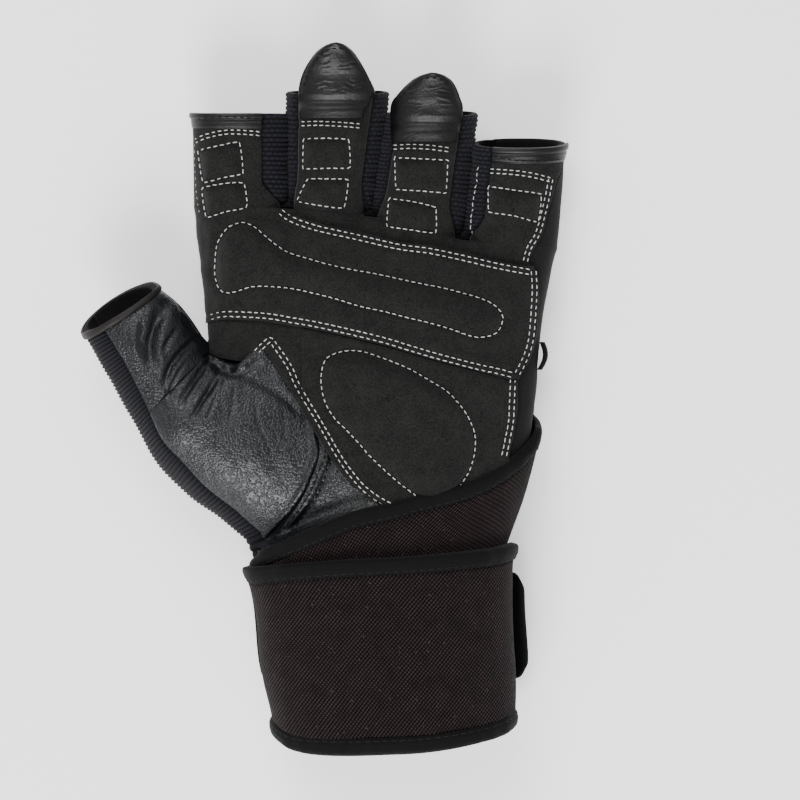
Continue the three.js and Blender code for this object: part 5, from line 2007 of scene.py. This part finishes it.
@dataclass
class Thumb:
    """The thumb and its root: pebbled leather, the wrist gusset, the rib strip, the back, the rim."""

    rib: float = 1.27
    rib_height: float = 0.55
    # Beside the seam: a roll's height, place and width, then a dip's depth, place and width.
    turned_mound: tuple[float, ...] = (0.55, 1.5, 1.0, 1.0, 0.0, 0.6)
    turned_wrist: tuple[float, ...] = (0.30, 1.6, 0.9, 0.45, 3.2, 0.8)
    creases: tuple[Crease, ...] = (
        Crease(((166, 306), (157, 325), (151, 345), (153, 366)), 2.6, 2.6),
        Crease(((146, 322), (142, 338), (144, 352)), 1.1, 1.6),
        Crease(((196, 340), (184, 352), (172, 368), (166, 384)), 1.5, 1.4),
        Crease(((214, 350), (205, 366), (193, 384), (182, 402)), 1.3, 1.3),
        Crease(((222, 366), (214, 384), (203, 402), (196, 416)), 0.8, 1.1),
        Crease(((178, 330), (170, 342), (165, 352)), 0.8, 1.1),
        Crease(((232, 372), (255, 380), (280, 394), (302, 414)), 0.9, 1.8),
        Crease(((206, 352), (216, 364), (228, 372), (244, 372), (258, 362)), 1.6, 1.8),
        Crease(((236, 384), (233, 410), (228, 436)), 0.20, 0.7),
        Crease(((256, 392), (260, 424), (272, 452)), 0.20, 0.7),
        Crease(((280, 400), (286, 426), (282, 448)), 0.14, 0.7),
        Crease(((224, 376), (218, 396), (206, 424)), 0.32, 0.8),
        Crease(((212, 384), (200, 406), (188, 426)), 0.36, 0.8),
        Crease(((188, 360), (176, 380), (170, 396)), 0.45, 0.8),
        Crease(((180, 300), (184, 316), (192, 332)), 0.5, 1.0),
    )

    def _rows(self, count: int) -> Array:
        """Rows spaced evenly along the strip's outer side, so that the ribs are even.

        Args:
            count: How many.

        Returns:
            Rows from 0 at the mouth to 8 at the wrap.
        """
        dense = np.linspace(0, 8, 400)
        run = self._outer_run(dense)
        return np.interp(np.linspace(0, run[-1], count), run, dense)

    @staticmethod
    def _outer_run(rows: Array) -> Array:
        """How far along the thumb's outer side each row is, in millimetres."""
        return travelled(thumb_point(rows, np.full(len(rows), 0.02), 1))

    def build(self) -> None:
        """Builds every piece of the thumb."""
        rows = self._rows(210)
        split = self._gusset_split(rows)
        self._leather("thenar_leather", rows, np.linspace(0, 1, 106), split, True, "thenar_shell")
        wrist = self._leather("wrist_leather", rows, np.linspace(0, 1, 56), split, False, "wrist_gusset")
        self._seam_stitches(wrist)
        self._back(rows)
        self._strip()
        self._rim()

    @staticmethod
    def _gusset_split(rows: Array) -> Array:
        """How far across each row the seam between the mound and the wrist's leather lies.

        Args:
            rows: Rows along the thumb.

        Returns:
            The seam's place on each row, with the steps between rows evened out.
        """
        seam = np.array(GUSSET_LINE) * (BREADTH, LENGTH)
        dense = line(seam, 0.3)
        order = np.argsort(dense[:, 1])
        end = Thumb._far_edge(rows)
        t = mix(0.3, end[:, None], np.linspace(0, 1, 300)[None, :])
        p = thumb_point(rows[:, None], t, 1)
        edge = np.interp(p[..., 1], dense[order, 1], dense[order, 0])
        past = (p[..., 0] > edge) & (p[..., 1] < seam[0, 1])
        first = np.where(past.any(1), t[np.arange(len(rows)), np.argmax(past, 1)], end)
        return np.convolve(np.pad(first, 4, mode="edge"), np.ones(9) / 9, "valid")

    @staticmethod
    def _far_edge(rows: Array) -> Array:
        """Where the leather ends: at the tube's far seam, and a little under the palm's suede."""
        return 1 + 0.07 * smooth((rows - 2.4) / 1.0)

    def _leather(self, name: str, rows: Array, share: Array, split: Array, mound: bool,
                 node_name: str) -> Array:
        """The leather on one side of the seam between the mound and the wrist.

        Args:
            name: The piece's name.
            rows: Rows along the thumb.
            share: Places across, as shares of each row's way.
            split: The seam's place on each row.
            mound: Whether it is the mound rather than the wrist's gusset.
            node_name: The solid that it stands for.

        Returns:
            Its outer face.
        """
        end = self._far_edge(rows)
        pick = np.ones(len(rows), bool) if mound else split < end - 0.015
        start = np.full(len(rows), 0.30) if mound else split - 0.010
        stop = np.minimum(split - 0.004, end) if mound else end
        r, t = rows[pick], mix(start[:, None], stop[:, None], share[None, :])[pick]
        base = thumb_face(r[:, None], t, 1, WALL)
        xy = base[..., :2]
        fine = 0.05 * waves(xy[..., 0], xy[..., 1] * 0.35, 3.0, 71)
        relief = folded(xy, self.creases) + (fine + 0.12 * waves(xy[..., 0], xy[..., 1], 9, 72))
        from_seam, _ = line_distance(xy, line(np.array(GUSSET_LINE) * (BREADTH, LENGTH), 2.0))
        sewn_edge = (split < end - 0.015)[pick][:, None]
        roll, at, wide, dip, dip_at, dip_wide = self.turned_mound if mound else self.turned_wrist
        turned = (roll * np.exp(-((from_seam - at) / wide) ** 2)
                  - dip * np.exp(-((from_seam - dip_at) / dip_wide) ** 2))
        value = WALL - 0.1 + relief * smooth(share / 0.06)[None, :] + turned * sewn_edge
        if mound:
            value = value - 0.5 * smooth(1 - share / 0.03)[None, :]
        outer = thumb_face(r[:, None], t, 1, value)
        inner = thumb_face(r[:, None], t, 1, np.minimum(value - 0.9, 0.3))
        dress(closed_sheet(name, outer, inner), PEBBLED, "pebbled_leather", node_name)
        return outer

    @staticmethod
    def _seam_stitches(wrist: Array) -> None:
        """Two rows of black stitches beside the seam, on the wrist's leather.

        Args:
            wrist: The wrist leather's outer face.
        """
        lattice = Lattice(wrist)
        seam = line(np.array(GUSSET_LINE) * (BREADTH, LENGTH), SEAM_STEP)
        rows = [beside(seam, 1.0)[6:-4], beside(seam, 3.2)[8:-8]]
        kind = Stitching(pitch=2.0, length=1.4, radius=0.24, finish=BLACK_THREAD)
        sewn("thumb_seam_stitches", kind, rows, lambda xy: lattice.over(xy)[0], "pebbled_leather")

    @staticmethod
    def _back(rows: Array) -> None:
        """The plain fabric under the thumb.

        Args:
            rows: Rows along the thumb.
        """
        r = rows[::3]
        t = np.linspace(0.25, 1, 50)[None, :]
        outer = thumb_face(r[:, None], t, -1, WALL)
        inner = thumb_face(r[:, None], t, -1, 0.0)
        dress(closed_sheet("thumb_back_fabric", outer, inner), JERSEY, "stretch_fabric", "thumb_back")

    def _strip(self) -> None:
        """The ribbed strip: ribs are a train of round ridges along the thumb's outer side."""
        rows = self._rows(560)
        t = np.linspace(-0.265, 0.318, 20)
        side = np.where(t < 0, -1.0, 1.0)[None, :]
        run = self._outer_run(rows)
        ridge = np.broadcast_to(np.abs(np.sin(math.pi * run / self.rib))[:, None] ** 0.9, (len(rows), len(t)))
        edge = np.minimum((t - t[0]) / 0.04, (t[-1] - t) / 0.04)[None, :]
        uneven = 0.12 * waves(run[:, None], t[None, :] * 30, 14, 81)
        value = WALL - 0.3 + self.rib_height * ridge - 0.8 * smooth(1 - edge) + uneven
        outer, inner = (thumb_face(rows[:, None], np.abs(t), side, offset) for offset in (value, 0.0))
        # The ribs' colour follows the ridges, with painted shade between them.
        sheet = closed_sheet("thumb_rib_knit", outer, inner, relief=ridge)
        dress(sheet, RIB_KNIT, "rib_knit", "thumb_rib_strip")

    @staticmethod
    def _rim() -> None:
        """The leather binding round the thumb's mouth: a ring with a round edge."""
        t = np.concatenate([np.linspace(0, 1, 70), np.linspace(-1, 0, 70)[1:-1]])[None, :]
        side = np.where(t < 0, -1.0, 1.0)
        v = np.linspace(-0.05, 0.19, 12)[:, None]
        s = (v + 0.05) / 0.24 * 2 - 1
        value = WALL + 0.3 + 0.65 * (1 - np.abs(s) ** 3) ** 0.5 + 0.07 * waves(t * 40, v * 10, 5, 91)
        row = np.broadcast_to(np.maximum(v, 0), (12, t.shape[1]))
        outer = thumb_face(row, np.abs(t), side, value)
        inner = thumb_face(row, np.abs(t), side, WALL + 0.15)
        sheet = closed_sheet("thumb_rim_tape", outer, inner, ring=True)
        dress(sheet, RIM_LEATHER, "binding_tape", "thumb_rim")


def wrap_edge(edge: str, turn: Array) -> Array:
    """The wrap's upper or lower edge at a turn, as y in millimetres."""
    return WRAP.read(edge, turn) * LENGTH


@dataclass
class WristWrap:
    """The canvas wrap: its first turn, the cuff over it, their edge tapes and the closure's end."""

    first: Array = field(default_factory=lambda: np.linspace(-90, 196, 300))
    second: Array = field(default_factory=lambda: np.linspace(198, 560, 400))
    rows: int = 30
    under_tape: float = BINDING_WIDTH - 0.6

    def _base(self, cuff: bool) -> Array:
        """The inner offset: on the glove at first, then rising over the wrap's own first turn.

        Args:
            cuff: Whether it is the cuff.

        Returns:
            Millimetres outwards for each turn.
        """
        if not cuff:
            return np.full(len(self.first), FIRST_TURN)
        return mix(FIRST_TURN, SECOND_TURN, smooth((self.second - 198) / (255 - 198)))

    def _canvas(self, name: str, low: Array, high: Array, cuff: bool, node_name: str) -> None:
        """A stretch of webbing between two lines round the wrist.

        Args:
            name: The piece's name.
            low: The lower edge for each turn in millimetres.
            high: The upper edge.
            cuff: Whether it is the cuff.
            node_name: The solid that it stands for.
        """
        turns = self.second if cuff else self.first
        y = mix(low[None, :], high[None, :], np.linspace(0, 1, self.rows)[:, None])
        base = self._base(cuff)
        x = wrist_point(y, turns[None, :], 0)[..., 0]
        uneven = 0.45 * waves(x, y, 24, 101) + 0.16 * waves(x, y * 0.6, 8, 102)
        if not cuff:
            fold = Crease(((348, 557), (356, 550), (364, 542)), 1.1, 1.0)
            uneven = uneven + folded(np.stack([x, y], -1), (fold,))
        outer = wrist_point(y, turns[None, :], base[None, :] + CANVAS - 0.2 + uneven * 0.6)
        inner = wrist_point(y, turns[None, :], base[None, :] + 0.2)
        outer[..., 2] = np.maximum(outer[..., 2], 0.05)
        cloth = (travelled(outer[self.rows // 2]), np.linspace(0, np.abs(high - low).mean(), self.rows))
        dress(closed_sheet(name, outer, inner, cloth=cloth), WEBBING, "canvas", node_name)

    def _tape(self, name: str, edge: str, inward: float, cuff: bool, seed: int, node_name: str) -> Array:
        """An edge tape: a soft flat profile carried along the wrap's edge, with small puckers.

        Args:
            name: The piece's name.
            edge: Which edge of the wrap it binds.
            inward: 1 where the wrap lies above the edge, -1 where it lies below.
            cuff: Whether it is on the cuff.
            seed: Picks the puckers.
            node_name: The solid that it stands for.

        Returns:
            The middle line of its outer face with its outward directions.
        """
        turns = self.second if cuff else self.first
        v = np.linspace(0, 1, 14)[:, None]
        s = 2 * v - 1
        y = wrap_edge(edge, turns)[None, :] + inward * v * BINDING_WIDTH
        base = self._base(cuff)
        x = wrist_point(y, turns[None, :], 0)[..., 0]
        pucker = 0.22 * waves(x, y * 0.4, 5.0, seed) + 0.25 * waves(x, y, 20, 101)
        groove = 0.34 * np.exp(-((s - 0.5) / 0.16) ** 2)
        value = base[None, :] + 0.3 + TAPE * (1 - np.abs(s) ** 3.5) ** 0.5 + pucker - groove
        outer = wrist_point(y, turns[None, :], np.maximum(value, base[None, :] + 0.3))
        inner = wrist_point(y, turns[None, :], base[None, :] + 0.0 * v)
        outer[..., 2] = np.maximum(outer[..., 2], 0.05)
        dress(closed_sheet(name, outer, inner), BINDING, "binding_tape", node_name)
        k = 10
        out = wrist_point(y[k], turns, value[k] + 1) - outer[k]
        return np.concatenate([outer[k], out], -1)

    def build(self) -> None:
        """Builds the wrap from inside to outside."""
        low, high = (wrap_edge(edge, self.first) for edge in ("lower", "upper"))
        self._canvas("wrap_first_canvas", low, high - self.under_tape, False, "wrap_first_turn")
        runs = [self._tape("wrap_first_tape", "upper", -1, False, 111, "wrap_first_binding")]
        low, high = (wrap_edge(edge, self.second) for edge in ("lower", "upper"))
        low, high = low + self.under_tape, high - self.under_tape
        self._canvas("wrap_cuff_canvas", low, high, True, "wrap_cuff_turn")
        runs.append(self._tape("wrap_cuff_upper_tape", "upper", -1, True, 112, "wrap_cuff_upper_binding"))
        runs.append(self._tape("wrap_cuff_lower_tape", "lower", 1, True, 113, "wrap_cuff_lower_binding"))
        kind = Stitching(pitch=2.6, length=1.9, radius=0.17, finish=DARK_THREAD)
        sewn_on("wrap_tape_stitches", kind, runs, "binding_tape")
        self._closure()

    @staticmethod
    def _closure() -> None:
        """The wrap's hook and loop end, over the back, with its last stretch standing off."""
        turns = np.linspace(563, 706, 100)[None, :]
        v = np.linspace(0, 1, 24)[:, None]
        loose = np.clip((turns - 682) / (706 - 682), 0, 1) ** 2 * 2.2
        round_end = 1 - np.clip((turns - 694) / 12, 0, 1) ** 3 * 0.22
        share = 0.5 + (v - 0.5) * round_end
        y = mix(-0.397, -0.246, share) * LENGTH
        edge = (1 - np.abs(2 * v - 1) ** 8) ** 0.4
        outer = wrist_point(y, turns, CLOSURE_LAYER + loose + CLOSURE * (0.5 + 0.5 * edge))
        inner = wrist_point(y, turns, CLOSURE_LAYER + loose + 0 * v)
        outer[..., 2] = np.maximum(outer[..., 2], 0.0)
        dress(closed_sheet("closure_end", outer, inner), BINDING, "closure_loop", "closure_tab")


def side_loop() -> None:
    """The small elastic loop on the little finger's side: a short band that stands off in an arc."""
    v = np.linspace(0, 1, 40)[:, None]
    turn = np.linspace(-8, 8, 16)[None, :]
    y = 0.061 * LENGTH + (v - 0.5) * 8.4
    value = WALL + 0.3 + 1.4 * np.sin(math.pi * v)
    soft = (1 - np.abs(turn / 8) ** 4) ** 0.5
    outer = wrist_point(y, turn, value + 1.2 * (0.4 + 0.6 * soft))
    inner = wrist_point(y, turn, value + 0 * turn)
    dress(closed_sheet("elastic_side_loop", outer, inner), BINDING, "binding_tape", "side_loop")


def sew_palm(lattices: Sequence[Lattice]) -> None:
    """Sews all the white seams on the suede.

    Args:
        lattices: The suede's grids, the palm's own first.
    """
    seams = (("palm_seam_stitches", Stitching(), SEAMS["upper"] + SEAMS["lower"] + SEAMS["side"]),
             ("web_seam_stitches", Stitching(seed=4), SEAMS["web"]),
             ("pad_stitches", Stitching(seed=5), [drawn(corners, True) for _, corners in PADS.values()]),
             ("finger_seam_stitches", Stitching(seed=6, pitch=1.8, length=1.2),
              SEAMS["fingers"] + SEAMS["little side"]),
             ("edge_stitches", Stitching(seed=7, pitch=1.9, length=0.8, radius=0.07), [drawn(EDGE_SEAM)]))
    for name, kind, paths in seams:
        sewn(name, kind, paths, lambda xy: top_height(xy, lattices), "suede")


# The floor's reach in millimetres and its emission, which brings it near to the photo's white ground.
FLOOR_REACH = 4000.0
FLOOR_GLOW = 0.62
# The lamps and the camera in metres, the camera's sensor in millimetres.
LAMP_AIM = (0.0, 0, 0.02)
CAMERA_HEIGHT = 1.6
MIDDLE_HEIGHT = 0.025
SENSOR = 36
def floor() -> None:
    """A plain pale floor that runs far past the frame."""
    corners = np.array([[-1, -1, 0], [1, -1, 0], [1, 1, 0], [-1, 1, 0]], float)
    obj = mesh_object("floor", corners * FLOOR_REACH, np.array([[0, 1, 2, 3]]))
    made = bpy.data.materials.new("white studio floor, lit from below")
    made.use_nodes = True
    shader = made.node_tree.nodes["Principled BSDF"]
    shader.inputs["Base Color"].default_value = (0.9, 0.9, 0.9, 1)
    shader.inputs["Roughness"].default_value = 0.9
    shader.inputs["Emission Color"].default_value = (1, 1, 1, 1)
    shader.inputs["Emission Strength"].default_value = FLOOR_GLOW
    obj.data.materials.append(made)


def lamp(name: str, place: tuple[float, float, float], size: float, power: float) -> None:
    """A square softbox.

    Args:
        name: The light's name.
        place: Where it hangs, in metres.
        size: Its side in metres.
        power: Watts.
    """
    data = bpy.data.lights.new(name, "AREA")
    data.shape, data.size, data.energy = "SQUARE", size, power
    obj = bpy.data.objects.new(name, data)
    bpy.context.scene.collection.objects.link(obj)
    obj.location = place
    obj.rotation_euler = (Vector(LAMP_AIM) - Vector(place)).to_track_quat("-Z", "Y").to_euler()


def studio() -> None:
    """Two softboxes, a white surround that is dimmer overhead, and the camera straight over the palm."""
    world = bpy.data.worlds.new("studio")
    bpy.context.scene.world = world
    world.use_nodes = True
    world.node_tree.nodes["Background"].inputs[0].default_value = (1, 1, 1, 1)
    tree = world.node_tree
    way = node(tree, "TexCoord").outputs["Generated"]
    up = node(tree, "SeparateXYZ", {0: way}).outputs[2]
    grey = node(tree, "MapRange", {"Value": up, 1: 0.55, 2: 0.97, 3: 0.85, 4: 0.30}).outputs[0]
    tree.links.new(grey, tree.nodes["Background"].inputs[1])
    lamp("top softbox", (-0.30, 0.75, 1.2), 0.9, 16)
    lamp("front softbox", (-0.15, -0.95, 0.9), 0.6, 24)
    centre = plan([(PLAN_SIDE / 2, PLAN_SIDE / 2)])[0] * MM
    data = bpy.data.cameras.new("camera")
    data.sensor_width = SENSOR
    data.lens = SENSOR * (CAMERA_HEIGHT - MIDDLE_HEIGHT) / (PLAN_SIDE * PLAN_UNIT * MM)
    camera = bpy.data.objects.new("camera", data)
    camera.location = (centre[0], centre[1], CAMERA_HEIGHT)
    bpy.context.scene.collection.objects.link(camera)
    bpy.context.scene.camera = camera


def main() -> None:
    """Builds every piece in order, sews it, and sets up the studio."""
    logging.basicConfig(level=logging.INFO, format="%(name)s: %(message)s")
    shell = PalmShell()
    shell.build()
    overlays = Overlays(shell)
    overlays.build()
    lattices = [shell.lattice, *overlays.lattices]
    Pads(lattices).build()
    FingerKnits().build()
    FingerEnds().build()
    Thumb().build()
    WristWrap().build()
    side_loop()
    sew_palm(lattices)
    floor()
    studio()


if __name__ == "__main__":
    main()
